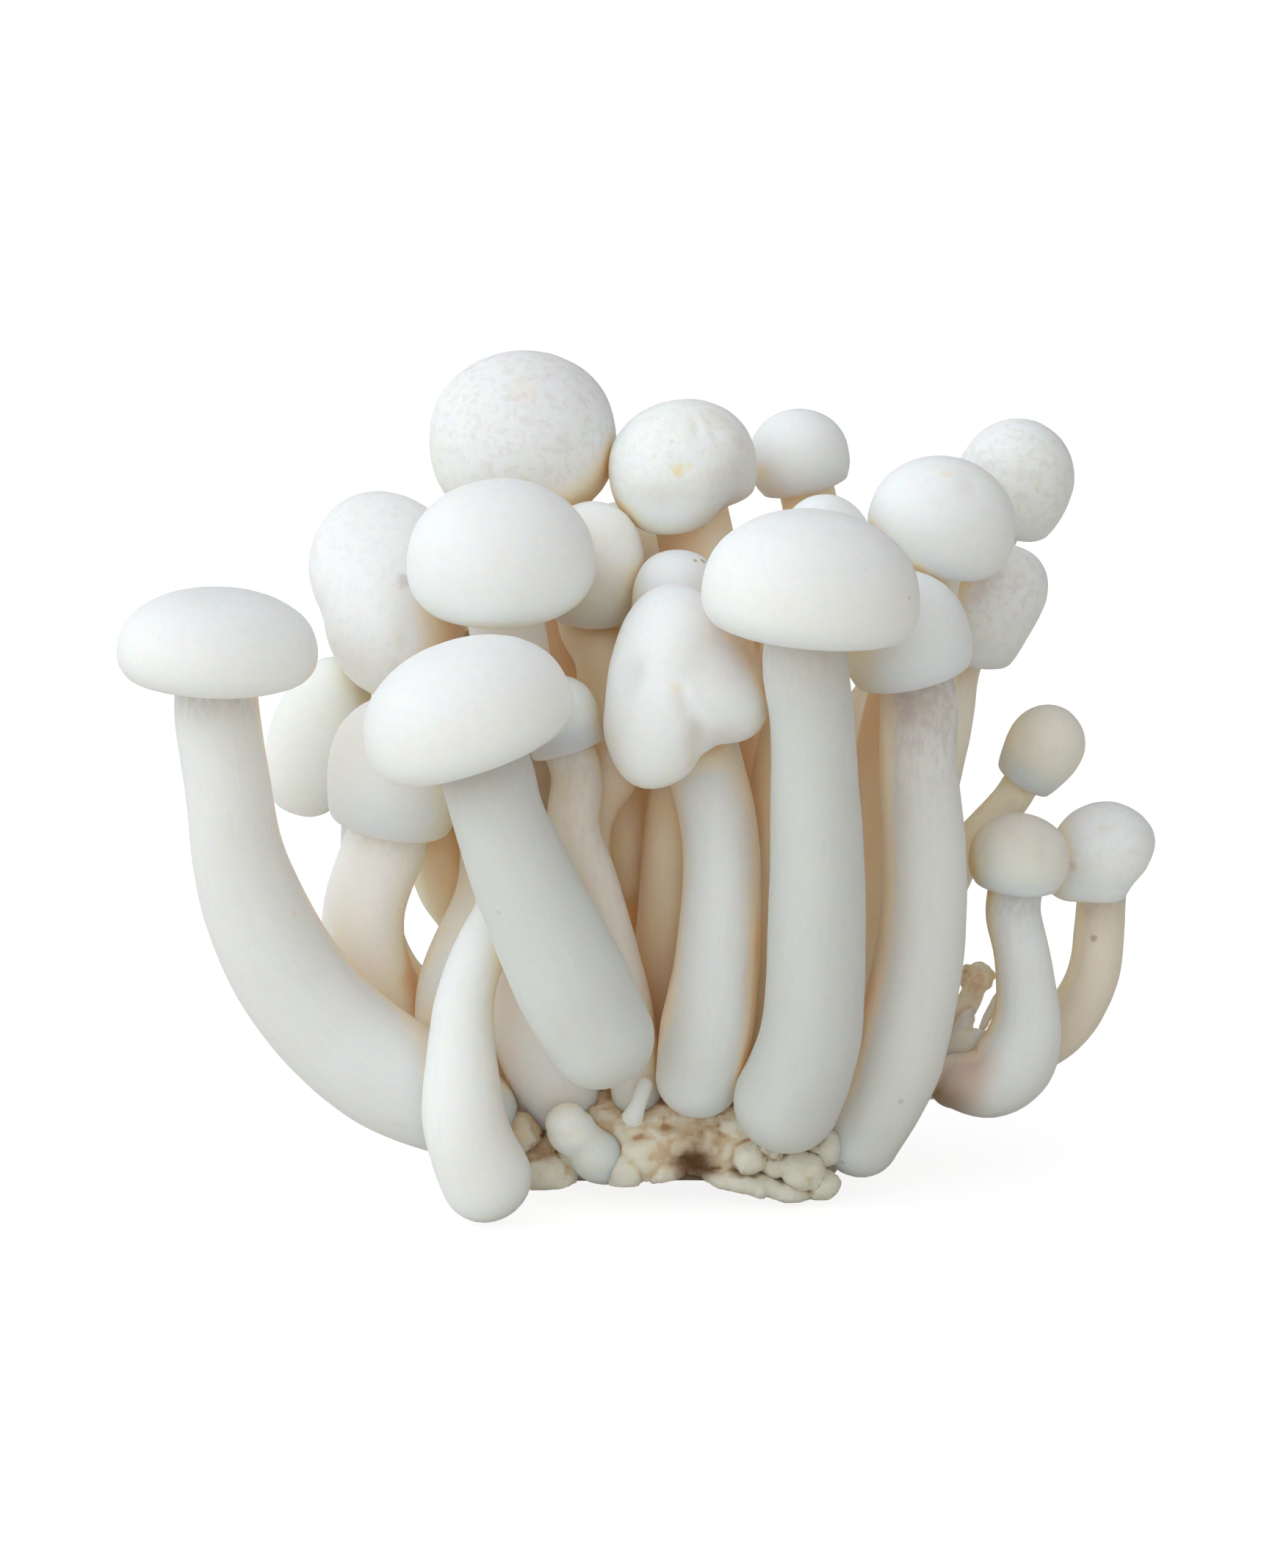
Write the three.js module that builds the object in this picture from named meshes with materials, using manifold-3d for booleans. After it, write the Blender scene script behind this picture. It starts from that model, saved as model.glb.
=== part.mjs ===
// A bunch of white shimeji (bunapi) mushrooms standing on its cut base.
// Millimetres, +Z up, +X to the right of someone facing the bunch, +Y away from them.
// Every mushroom is a cap and a stem; buds and pins are one small body each; one base holds all the feet.
import * as THREE from "three";
import { mergeVertices } from "three/addons/utils/BufferGeometryUtils.js";
import Module from "manifold-3d";

// ---- driving dimensions ----
const GAP = 0.3; // clearance between a stem's top and the gills of its cap
const ROOM = 0.35; // clearance kept between neighbouring stems, and round each foot in the base
const CAP_SIDES = (d) => (d > 14 ? 18 : 14);
const STEM_SIDES = 10;
const STATIONS = 9; // rings along the straight or curved run of a stem
const FOOT_ROUND = 0.95; // length of a rounded foot, as a share of its radius
const NECK = 4; // straight run of a stem under its cap
const GILL_DEPTH = 0.15; // how far the gills lie above the rim, as a share of the cap's height

const FLESH = 0xf3f2ec;
const IVORY = 0xe9e2d2;
const TAN = 0xcdb48c;

const BASE = {
  middle: [4, -2],
  cut: [16.5, 14], // half sizes of the flat cut face
  belly: [19, 16.5], // half sizes where the feet gather
  bellyAt: 6.5,
  top: 13,
  sides: 28,
  lumps: [
    // compass degrees round the base, height, outward mm, reach in degrees
    [-108, 0, -3.2, 34],
    [-48, 0, 1.8, 26],
    [-128, 5, 1.6, 16],
    [-96, 3, 1.1, 13],
    [-66, 5, 1.5, 15],
    [-30, 4, 1.2, 18],
    [15, 5, 1.4, 22],
    [62, 4, 1.5, 20],
    [104, 5, 1.2, 18],
    [150, 4, 1.6, 20],
    [-164, 5, 1.3, 16],
  ],
};

// cap: at = middle, d = width, h = height, lean = degrees to the right, nod = degrees to the front,
//   rim = height of the widest ring as a share of h, dome = fullness of the shoulders (lower is fuller),
//   stretch = depth as a share of the width, waves = [lobes, share of the radius, compass degrees],
//   bumps = [compass degrees, degrees above the rim, outward mm, reach in degrees]
// stem: [x, y, z, radius] from the foot up; the run into the cap is added from the cap's own axis
// loose: the stem is out of sight, so it may move sideways as well as in depth to make room
const MUSHROOMS = {
  front_left: {
    cap: { at: [-17.8, -27, 55.6], d: 21.6, h: 10.9, lean: -18, nod: 5, dome: 0.9 },
    stem: [
      [-3.7, -29, 20.9, 5.5], [-6.3, -29, 25.9, 5.9], [-9.4, -28.6, 32.5, 5.5], [-12.1, -28, 38.6, 5.1],
      [-14.3, -27.2, 44.2, 4.7],
    ],
  },
  front_right: {
    cap: { at: [17.7, -25, 68.3], d: 22, h: 11.8, lean: 5, nod: 3, dome: 0.92 },
    stem: [
      [15.3, -21.5, 12.5, 5.5], [16.9, -22.4, 16.2, 5.35], [17.9, -23.4, 21, 5.1], [18.2, -24, 29, 5.05],
      [18.2, -24, 38, 4.8], [17.7, -24, 52, 4.25],
    ],
  },
  left_outer: {
    cap: { at: [-43, -16, 60], d: 20.6, h: 8.6, lean: 2, nod: 4, dome: 0.82, rim: 0.34 },
    stem: [
      [-17, -6.6, 9.2, 5], [-21.9, -8.3, 11.8, 5.9], [-27, -10, 14.9, 6.2], [-32.5, -11.4, 19.6, 6.1],
      [-37.5, -13, 26.8, 5.7], [-41, -15, 36.5, 4.8], [-42.4, -16, 47, 4.3],
    ],
  },
  centre_lumpy: {
    cap: {
      at: [4.3, -18, 56], d: 15.6, h: 11.8, lean: -13, nod: 42, stretch: 1.3, rim: 0.42,
      waves: [[3, 0.05, 90]],
      bumps: [[-116, 6, 2.6, 26], [-76, 14, -1.5, 15], [-30, 12, 0.9, 26], [80, 35, 0.9, 28]],
    },
    stem: [
      [6.2, -17, 13.9, 4.5], [6.9, -17.8, 18, 4.9], [8, -18, 24.5, 4.55], [8.6, -17, 32, 4.15],
      [8.5, -15.2, 39, 4],
    ],
  },
  front_club: {
    cap: { at: [-15.6, -13, 50.4], d: 7, h: 6, lean: 0, nod: 0 },
    stem: [
      [-15.6, -22, 4.9, 4.7], [-17, -22.6, 7.8, 4.65], [-17.8, -22.8, 12, 4.2], [-18, -22.6, 17, 3.75],
      [-17.9, -21.6, 22, 3.1], [-16.5, -20.2, 27.5, 2.8], [-13.6, -18.8, 31.5, 2.7], [-12.6, -16, 37, 2.7],
      [-13.9, -14.3, 43, 2.7],
    ],
  },
  left_egg: {
    cap: { at: [-24.7, -7.6, 45.2], d: 15, h: 13.6, lean: 10, nod: 8, rim: 0.44 },
    stem: [
      [-11.5, -1, 7, 3.3], [-20, -3, 11.5, 4], [-26.3, -5, 18, 4.3], [-28.7, -7, 25, 4.3],
      [-28.2, -7.4, 31, 4.3],
    ],
  },
  front_slim: {
    cap: { at: [-8.3, -14.5, 51.6], d: 8.6, h: 7.8, lean: -17, nod: 0, rim: 0.4 },
    stem: [
      [0, -12, 11, 2.7], [-0.9, -14, 19, 2.8], [-2.9, -16, 28, 2.7], [-5.6, -16.5, 37, 2.7],
      [-7.2, -15.5, 43.5, 2.7],
    ],
  },
  upper_left: {
    cap: { at: [-14.2, -11, 68.9], d: 19.5, h: 11.4, lean: -3, nod: 17, dome: 0.92 },
    stem: [
      [-8.6, -19, 10.8, 4.4], [-10.4, -19.2, 17.2, 4.7], [-12.4, -15.5, 27.8, 4.3], [-13, -8, 43, 4],
      [-12.8, -5.6, 53, 3.9],
    ],
  },
  left_lobed: {
    cap: {
      at: [-27, 2.5, 61.6], d: 16.6, h: 12.2, lean: -22, nod: 38, stretch: 1.34, rim: 0.42,
      waves: [[2, 0.05, 90]],
      bumps: [[176, 10, -2.9, 22], [88, 30, 0.9, 30], [40, 20, 1.4, 28], [-92, 28, 1.1, 30]],
    },
    stem: [
      [-16, -7, 9.5, 3.2], [-20.3, -8.5, 17.5, 3.4], [-18.9, -7.5, 23.5, 3.4], [-15.9, -5, 30, 3.3],
      [-15.6, -1, 38, 3.3], [-18.4, 3, 47, 3.4],
    ],
  },
  left_back: {
    cap: {
      at: [-34.8, 7, 45], d: 15.4, h: 8.6, lean: -70, nod: 8,
      waves: [[2, 0.08, 0]],
      bumps: [[0, 30, 0.8, 28], [180, 30, 0.8, 28]],
    },
    stem: [
      [-9.5, 5, 7, 2.8], [-18, 8.5, 11.5, 3], [-25.8, 9.5, 17, 3], [-28.6, 9.5, 24, 3],
      [-28.6, 9, 33, 3.1],
    ],
  },
  crown_left: {
    cap: { at: [-12.3, 9.5, 78], d: 19.8, h: 13.4, lean: -4, nod: 28, rim: 0.38, dome: 0.95 },
    stem: [[-3.6, 4, 8.5, 2.9], [-6, 8, 31, 3.7], [-9, 12, 54, 4]],
    loose: true,
  },
  crown_inner: {
    cap: { at: [-4.8, 1.5, 65.2], d: 11.4, h: 11.8, lean: 5, nod: 22, rim: 0.42 },
    stem: [[-0.8, -4.4, 31.6, 2.9], [-1.5, -3.8, 36, 3.1], [-2.8, -1, 46, 3.1], [-4, 2.5, 55, 3]],
  },
  centre_small: {
    cap: { at: [4.2, -2.8, 62.3], d: 9.5, h: 8.2, lean: 2, nod: 8, rim: 0.36, dome: 0.8 },
    stem: [[3.6, -7.5, 9, 2.8], [3, -8.4, 23, 3.3], [4, -8, 38, 3.3], [5.2, -5.5, 50, 2.7]],
  },
  crown_middle: {
    cap: {
      at: [4.6, 5, 75.4], d: 15.8, h: 10.4, lean: -9, nod: 22, rim: 0.38,
      bumps: [[-25, 15, -1, 20], [-52, -14, -1.5, 24]],
    },
    stem: [[9, 0, 9, 2.9], [10.5, 1, 32, 3.8], [8.5, 4, 54, 4]],
  },
  crown_back: {
    cap: { at: [17, 15, 74.5], d: 11.2, h: 8.4, lean: -13, nod: 4 },
    stem: [[11.5, 8, 8, 2.7], [14.5, 12, 30, 3.1], [16, 14, 51, 3]],
  },
  behind_right: {
    cap: { at: [19.4, -7, 69], d: 10, h: 8, lean: 0, nod: 6 },
    stem: [[12.3, -11, 9.5, 2.6], [12.6, -10.5, 26, 2.9], [14.6, -8.5, 43, 2.9]],
  },
  right_leaning: {
    cap: { at: [27.3, -11, 60.3], d: 13.4, h: 10.8, lean: -13, nod: 8, rim: 0.36 },
    stem: [
      [23.2, -14.5, 6.4, 4.3], [25.4, -15, 11, 4.8], [27.8, -15, 18.8, 4.9], [29.5, -14, 28, 4.6],
      [29.6, -13, 38, 4.3], [29, -12, 47, 4],
    ],
  },
  crown_right: {
    cap: { at: [32.1, -3, 71], d: 15.4, h: 10, lean: 12, nod: 16, rim: 0.34 },
    stem: [[17.5, -3, 8.5, 3], [22.5, -1.5, 24, 3.6], [26.5, 0, 45, 3.5], [29, 0, 56, 3.4]],
  },
  crown_far_right: {
    cap: { at: [40.8, 14, 72.3], d: 12.5, h: 10.8, lean: 22, nod: 20, rim: 0.38 },
    stem: [[17, 7.5, 8, 2.8], [24, 10.5, 27, 3.2], [31, 16.5, 48, 3], [35, 18.5, 60, 3]],
  },
  right_notched: {
    cap: {
      at: [36.4, 7, 59.8], d: 12.2, h: 11.4, lean: 20, nod: 14, rim: 0.4, dome: 0.7,
      bumps: [[20, 52, 1.5, 26], [165, 40, -1, 24]],
    },
    stem: [[21.5, 1, 8, 2.7], [28.4, 2.5, 28, 3.1], [32, 4.5, 44.5, 3], [33.6, 7, 51.5, 3]],
  },
  right_ball: {
    cap: { at: [43.3, 5, 44.1], d: 8.7, h: 9, lean: 30, nod: 10, rim: 0.44 },
    stem: [[22.5, 7, 8, 1.9], [30.7, 6.5, 23, 2.1], [35.8, 6, 33.5, 2]],
  },
  right_hooked: {
    cap: { at: [40.1, -6, 35.2], d: 11.2, h: 7.6, lean: 5, nod: 5 },
    stem: [
      [33.6, -5.4, 10.2, 3], [36.3, -5.8, 10, 3.9], [39.1, -6, 11.6, 4.35], [40.7, -6, 14.8, 4],
      [41, -6, 18.6, 3.3], [40.5, -6, 23, 3], [39.8, -6, 27, 2.9],
    ],
  },
  right_low: {
    cap: {
      at: [49.7, 2, 33.9], d: 11.4, h: 9.2, lean: 3, nod: 10, rim: 0.4,
      bumps: [[0, -20, -3.2, 34], [180, -10, 1, 30]],
    },
    stem: [
      [27, 3, 8, 2.3], [34.2, 3.6, 8.6, 2.6], [39.5, 3, 10.3, 2.9], [44.5, 2.3, 13.3, 2.95],
      [47.4, 2, 17, 2.85], [48.7, 2, 21, 2.75], [49.2, 2, 25, 2.65],
    ],
  },
  back_left: {
    cap: { at: [-19, 24, 57], d: 17, h: 11, lean: -22, nod: -22, rim: 0.36 },
    stem: [[-7, 12, 8, 2.8], [-11, 16, 25, 3.6], [-15, 20, 42, 3.6]],
    loose: true,
  },
  back_inner_left: {
    cap: { at: [-1, 23, 62], d: 16, h: 10.8, lean: -4, nod: -18 },
    stem: [[0.5, 12.5, 8, 2.8], [0, 15, 26, 3.6], [-0.5, 18, 46, 3.8]],
    loose: true,
  },
  back_inner_right: {
    cap: { at: [14.5, 30, 56], d: 14.5, h: 10.4, lean: 8, nod: -26, rim: 0.38 },
    stem: [[7.5, 14, 8, 2.7], [10, 18, 24, 3.4], [13, 22, 40, 3.5]],
    loose: true,
  },
  back_right: {
    cap: { at: [31, 30, 54], d: 15, h: 10.6, lean: 20, nod: -20 },
    stem: [[14.5, 13.5, 8, 2.7], [19, 17, 24, 3.5], [24, 22, 40, 3.6]],
    loose: true,
  },
};

// One body each: [x, y, z, radius] from the foot to the crown of the head.
const BUDS = {
  bud_shaded: [
    [1, -8.6, 11, 1.6], [-1, -9.6, 20, 1.6], [-3.2, -10.4, 28, 1.6], [-4.4, -10.4, 36, 1.6],
    [-4, -9.9, 40.4, 2.1], [-3.5, -9.6, 43.2, 3.4], [-3.2, -9.5, 45.6, 3],
  ],
  bud_gap: [
    [-13, 3.5, 10, 1.6], [-16.8, 3.5, 18, 1.6], [-18.9, 3, 24.5, 1.8], [-20.4, 2.4, 28.4, 2.6],
    [-21.3, 2, 32, 3], [-21.9, 2, 36, 3], [-22, 2, 39.4, 2.2],
  ],
  pin_right: [
    [32.3, -2.5, 12.6, 1.1], [33.1, -2.5, 15, 1], [34.2, -2.5, 17.4, 0.95], [35.3, -2.5, 19, 1],
    [36, -2.5, 20.3, 1.7], [36.2, -2.5, 21.3, 1.4],
  ],
  pin_front: [
    [-3.4, -16.6, 4.4, 2.5], [-4.4, -17.8, 5.4, 2.7], [-5.9, -18.6, 7.3, 2.3],
    [-7, -19.1, 8.7, 2.55], [-7.4, -19.3, 9.5, 2.2],
  ],
  pin_tiny: [[0.9, -16.4, 13, 0.8], [0.5, -17.8, 12.2, 0.8], [0, -18.9, 11, 0.85], [-0.5, -19.3, 9.8, 1.15]],
};

// ---- geometry ----
const rad = THREE.MathUtils.degToRad;
const vec = ([x, y, z]) => new THREE.Vector3(x, y, z);

// A closed body turned round +Z from an outline of [radius, height] pairs that starts and ends on the axis.
function turned(outline, sides) {
  const lathe = new THREE.LatheGeometry(outline.map(([r, z]) => new THREE.Vector2(r, z)), sides);
  lathe.rotateX(Math.PI / 2).deleteAttribute("normal");
  lathe.deleteAttribute("uv");
  return mergeVertices(lathe, 1e-3);
}

// Moves every corner of a geometry with change(corner).
function reshape(geometry, change) {
  const place = geometry.attributes.position;
  for (let i = 0; i < place.count; i++) {
    const p = new THREE.Vector3().fromBufferAttribute(place, i);
    change(p);
    place.setXYZ(i, p.x, p.y, p.z);
  }
  return geometry;
}

// The turn of a cap: first nod to the front, then lean to the right.
const capTurn = ({ lean, nod }) => new THREE.Euler(rad(nod), rad(lean), 0, "YXZ");

// Heights along the cap's own axis, measured from its middle.
function capLevels({ h, rim = 0.3 }) {
  return { low: -h / 2, rim: h * (rim - 0.5), gills: h * (GILL_DEPTH - 0.5), top: h / 2 };
}

// A closed cap: rolled rim, flat gills round the stem, domed crown, then lobes, bumps and dents.
function capGeometry(cap, neckRadius) {
  const { d, stretch = 1, dome = 1, waves = [], bumps = [] } = cap;
  const R = d / 2;
  const { low, rim, gills, top } = capLevels(cap);
  const seat = Math.min(0.8 * R, Math.max(0.42 * R, neckRadius + 0.4));
  const outline = [
    [0, gills + 0.15],
    [seat, gills],
    [Math.max(0.7 * R, (0.87 * R + seat) / 2), low + 0.45 * (gills - low)],
    [0.87 * R, low],
    [0.975 * R, low + 0.35 * (rim - low)],
    [R, rim],
  ];
  for (const t of [21, 41, 60, 77]) {
    outline.push([R * Math.cos(rad(t)) ** dome, rim + (top - rim) * Math.sin(rad(t))]);
  }
  outline.push([0, top]);

  const middle = new THREE.Vector3(0, 0, gills);
  const toward = bumps.map(([turn, up]) => new THREE.Vector3(1, 0, 0)
    .applyAxisAngle(new THREE.Vector3(0, -1, 0), rad(up))
    .applyAxisAngle(new THREE.Vector3(0, 0, 1), rad(turn)));
  return reshape(turned(outline, CAP_SIDES(d)), (p) => {
    const edge = THREE.MathUtils.clamp((Math.hypot(p.x, p.y) - seat) / (R - seat), 0, 1);
    const share = p.z > gills + 0.01 ? 1 : edge; // the seat round the stem stays plain
    const turn = Math.atan2(p.y, p.x);
    const swell = waves
      .reduce((sum, [lobes, size, at]) => sum + size * Math.cos(lobes * (turn - rad(at))), 0);
    p.x *= 1 + swell * share;
    p.y *= (1 + swell * share) * (1 + (stretch - 1) * share);
    if (p.z <= gills + 0.2 && edge <= 0.5) return;
    const out = p.clone().sub(middle).normalize();
    bumps.forEach(([, , mm, reach], k) => {
      const away = THREE.MathUtils.radToDeg(out.angleTo(toward[k])) / reach;
      p.addScaledVector(out, mm * Math.exp(-(away ** 2)));
    });
  });
}

// Evenly spaced stations [x, y, z, radius] along a smooth curve through the given points.
function stations(points, count) {
  const curve = new THREE.CatmullRomCurve3(points.map(vec), false, "centripetal");
  return Array.from({ length: count }, (_, i) => {
    const t = curve.getUtoTmapping(i / (count - 1));
    const k = Math.min(points.length - 2, Math.floor(t * (points.length - 1)));
    const s = t * (points.length - 1) - k;
    const mix = (THREE.MathUtils.smoothstep(s, 0, 1) + s) / 2;
    return [...curve.getPoint(t).toArray(), THREE.MathUtils.lerp(points[k][3], points[k + 1][3], mix)];
  });
}

// The stations of a mushroom's stem; its last run lies on the cap's axis.
function stemStations({ cap, stem }) {
  const axis = new THREE.Vector3(0, 0, 1).applyEuler(capTurn(cap));
  const end = vec(cap.at).addScaledVector(axis, capLevels(cap).gills - GAP);
  const neck = end.clone().addScaledVector(axis, -NECK);
  const r = stem[stem.length - 1][3];
  return [...stations([...stem, [...neck.toArray(), r]], STATIONS - 1), [...end.toArray(), r]];
}

// A turned body bent along its stations: rounded foot, and a flat top, or a rounded one on a bud.
function tubeGeometry(path, { extra = 0, rounded = false } = {}) {
  const points = path.map(vec);
  const last = points.length - 1;
  const along = points.map((_, i) => points[Math.min(last, i + 1)].clone()
    .sub(points[Math.max(0, i - 1)]).normalize());
  const foot = path[0][3] + extra;
  const tip = path[last][3] + extra;
  const ring = (i, r, beyond = 0) => {
    const side = new THREE.Vector3(0, 1, 0).addScaledVector(along[i], -along[i].y).normalize();
    const middle = points[i].clone().addScaledVector(along[i], beyond);
    return { middle, side, other: along[i].clone().cross(side), r };
  };
  const rings = [
    ring(0, 0, -FOOT_ROUND * foot),
    ring(0, 0.72 * foot, -0.69 * FOOT_ROUND * foot),
    ...path.map((p, i) => ring(i, p[3] + extra)),
    ...(rounded ? [ring(last, 0.68 * tip, 0.5 * tip), ring(last, 0, 0.8 * tip)] : [ring(last, 0, 0.1)]),
  ];
  return reshape(turned(rings.map(({ r }, i) => [r, i]), STEM_SIDES), (p) => {
    const { middle, side, other } = rings[Math.round(p.z)];
    const { x, y } = p;
    p.copy(middle).addScaledVector(side, x).addScaledVector(other, y);
  });
}

// ---- making room ----
// The place nearest to p on a row of stations: [squared distance, near station, offset, radius there].
function nearest(p, path) {
  let best = [Infinity, 0, null, 0];
  for (let i = 0; i + 1 < path.length; i++) {
    const a = path[i];
    const b = path[i + 1];
    const run = [b[0] - a[0], b[1] - a[1], b[2] - a[2]];
    const size = run[0] ** 2 + run[1] ** 2 + run[2] ** 2;
    const dot = (p[0] - a[0]) * run[0] + (p[1] - a[1]) * run[1] + (p[2] - a[2]) * run[2];
    const t = Math.min(1, Math.max(0, dot / size));
    const off = [0, 1, 2].map((k) => p[k] - a[k] - t * run[k]);
    const gap = off[0] ** 2 + off[1] ** 2 + off[2] ** 2;
    if (gap < best[0]) best = [gap, i + Math.round(t), off, a[3] + t * (b[3] - a[3])];
  }
  return best;
}

// Pushes crowded stems apart, mostly in depth, and keeps them clear of the caps they pass.
function makeRoom(stems, caps) {
  const names = Object.keys(stems);
  const start = structuredClone(stems);
  const ease = (name) => (MUSHROOMS[name]?.loose ? [0.8, 0.9, 0.05] : [0.12, 0.9, 0.02]);
  const shift = (name, i, by) => {
    const last = stems[name].length - 1;
    if (MUSHROOMS[name] && i > last - 2) return;
    ease(name).forEach((share, k) => (stems[name][i][k] += share * by[k]));
  };
  for (let round = 0; round < 160; round++) {
    for (const a of names) {
      for (const b of names) {
        if (a === b) continue;
        stems[a].forEach((p, i) => {
          const [gap, j, off, r] = nearest(p, stems[b]);
          const need = p[3] + r + ROOM;
          const far = Math.sqrt(gap) || 1e-6;
          if (far >= need) return;
          const push = off.map((v) => (0.5 * v * (need - far)) / far);
          shift(a, i, push);
          shift(b, j, push.map((v) => -v));
        });
      }
      for (const [owner, cap] of Object.entries(caps)) {
        if (owner === a) continue;
        stems[a].forEach((p, i) => {
          const local = vec(p).applyMatrix4(cap.inverse);
          const size = cap.half.map((v) => v + p[3] + ROOM);
          const q = [local.x / size[0], local.y / size[1], local.z / size[2]];
          const depth = Math.hypot(...q);
          if (depth >= 1) return;
          const out = new THREE.Vector3(q[0] / size[0], q[1] / size[1], q[2] / size[2]).normalize();
          const push = 0.7 * (1 - depth) * Math.min(...size);
          shift(a, i, out.transformDirection(cap.matrix).multiplyScalar(push).toArray());
        });
      }
    }
    for (const name of names) {
      const path = stems[name];
      const was = start[name];
      for (let i = 0; i < path.length; i++) {
        for (let k = 0; k < 3; k++) {
          const hold = k === 1 || MUSHROOMS[name]?.loose ? 0.01 : 0.08;
          const move = hold * (was[i][k] - path[i][k]);
          let bend = 0;
          if (i > 0 && i + 1 < path.length) {
            const now = (path[i - 1][k] + path[i + 1][k]) / 2 - path[i][k];
            bend = 0.25 * (now - ((was[i - 1][k] + was[i + 1][k]) / 2 - was[i][k]));
          }
          if (!MUSHROOMS[name] || i <= path.length - 3) path[i][k] += move + bend;
        }
      }
    }
  }
}

// ---- base ----
// A low lumpy dome, narrower at its flat cut face than at the belly where the feet gather.
function baseGeometry() {
  const { middle, cut, belly, bellyAt, top, sides, lumps } = BASE;
  const outline = [[0, 0], [0.55, 0], [0.93, 0], [1, 0.5]];
  for (const t of [0.35, 0.7, 1]) outline.push([1, bellyAt * t]);
  for (const t of [22, 42, 60, 76]) {
    outline.push([Math.cos(rad(t)), bellyAt + (top - bellyAt) * Math.sin(rad(t))]);
  }
  outline.push([0, top]);
  return reshape(turned(outline, sides), (p) => {
    const r = Math.hypot(p.x, p.y);
    const turn = Math.atan2(p.y, p.x);
    const widen = THREE.MathUtils.smoothstep(p.z, 0, bellyAt);
    const ragged = p.z < 0.01
      ? 0.35 * Math.sin(5 * turn) + 0.3 * Math.sin(9 * turn + 1)
      : 0.25 * Math.sin(7 * turn);
    const out = lumps.reduce((sum, [at, z, mm, reach]) => {
      if (p.z < 0.01 && z > 0) return sum; // the cut face takes only the lumps at its own height
      const away = Math.atan2(Math.sin(turn - rad(at)), Math.cos(turn - rad(at))) / rad(reach);
      return sum + mm * Math.exp(-(away ** 2) - ((p.z - z) / 4) ** 2);
    }, ragged);
    p.x = middle[0] + p.x * THREE.MathUtils.lerp(cut[0], belly[0], widen) + r * out * Math.cos(turn);
    p.y = middle[1] + p.y * THREE.MathUtils.lerp(cut[1], belly[1], widen) + r * out * Math.sin(turn);
  });
}

// ---- assembly ----
const wasm = await Module();
wasm.setup();

function toSolid(geometry) {
  return new wasm.Manifold(new wasm.Mesh({
    numProp: 3,
    vertProperties: new Float32Array(geometry.attributes.position.array),
    triVerts: new Uint32Array(geometry.index.array),
  }));
}

function fromSolid(solid) {
  const { vertProperties, numProp, triVerts } = solid.getMesh();
  const count = vertProperties.length / numProp;
  const place = new Float32Array(count * 3);
  for (let i = 0; i < count; i++) place.set(vertProperties.subarray(i * numProp, i * numProp + 3), i * 3);
  return new THREE.BufferGeometry()
    .setAttribute("position", new THREE.BufferAttribute(place, 3))
    .setIndex(new THREE.BufferAttribute(triVerts, 1));
}

function piece(name, geometry, color, roughness) {
  const mesh = new THREE.Mesh(geometry, new THREE.MeshStandardMaterial({ color, roughness, metalness: 0 }));
  mesh.name = name;
  return mesh;
}

const stems = {};
const caps = {};
for (const [name, spec] of Object.entries(MUSHROOMS)) {
  const { cap } = spec;
  const matrix = new THREE.Matrix4().makeRotationFromEuler(capTurn(cap)).setPosition(vec(cap.at));
  const wide = (cap.d / 2) * 1.03;
  caps[name] = {
    matrix,
    inverse: matrix.clone().invert(),
    half: [wide, wide * (cap.stretch ?? 1), (cap.h / 2) * 1.12],
  };
  stems[name] = stemStations(spec);
}
for (const [name, points] of Object.entries(BUDS)) stems[name] = structuredClone(points);
makeRoom(stems, caps);

const bunch = new THREE.Group();
bunch.name = "white_shimeji_bunch";

for (const [name, { cap }] of Object.entries(MUSHROOMS)) {
  const path = stems[name];
  const mushroom = new THREE.Group();
  mushroom.name = name;
  const crown = piece(`${name}_cap`, capGeometry(cap, path[path.length - 1][3]), FLESH, 0.55);
  crown.position.set(...cap.at);
  crown.rotation.copy(capTurn(cap));
  mushroom.add(crown, piece(`${name}_stem`, tubeGeometry(path), IVORY, 0.6));
  bunch.add(mushroom);
}
for (const name of Object.keys(BUDS)) {
  bunch.add(piece(name, tubeGeometry(stems[name], { rounded: true }), IVORY, 0.6));
}

// The base is one dome with a socket round every foot that reaches into it.
let base = toSolid(baseGeometry());
for (const [name, path] of Object.entries(stems)) {
  base = base.subtract(toSolid(tubeGeometry(path, { extra: ROOM, rounded: name in BUDS })));
}
const [largest] = base.decompose().sort((a, b) => b.volume() - a.volume());
bunch.add(piece("cut_base", fromSolid(largest), TAN, 0.8));

export default bunch;
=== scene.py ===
"""The finished look of a white shimeji bunch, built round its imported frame.

Every cap, stem and bud of the frame is read back as rings and rebuilt as a fine surface: caps with gills, a
thin margin and their own dents and scars, stems with fibres and swollen feet, and a crusty cut base. Sizes
are in millimetres in the classes and become metres when a mesh is made.
"""

import logging
import math
from dataclasses import dataclass, field
from enum import Enum

import bmesh
import bpy
import numpy as np
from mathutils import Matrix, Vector
from mathutils.bvhtree import BVHTree


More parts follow.
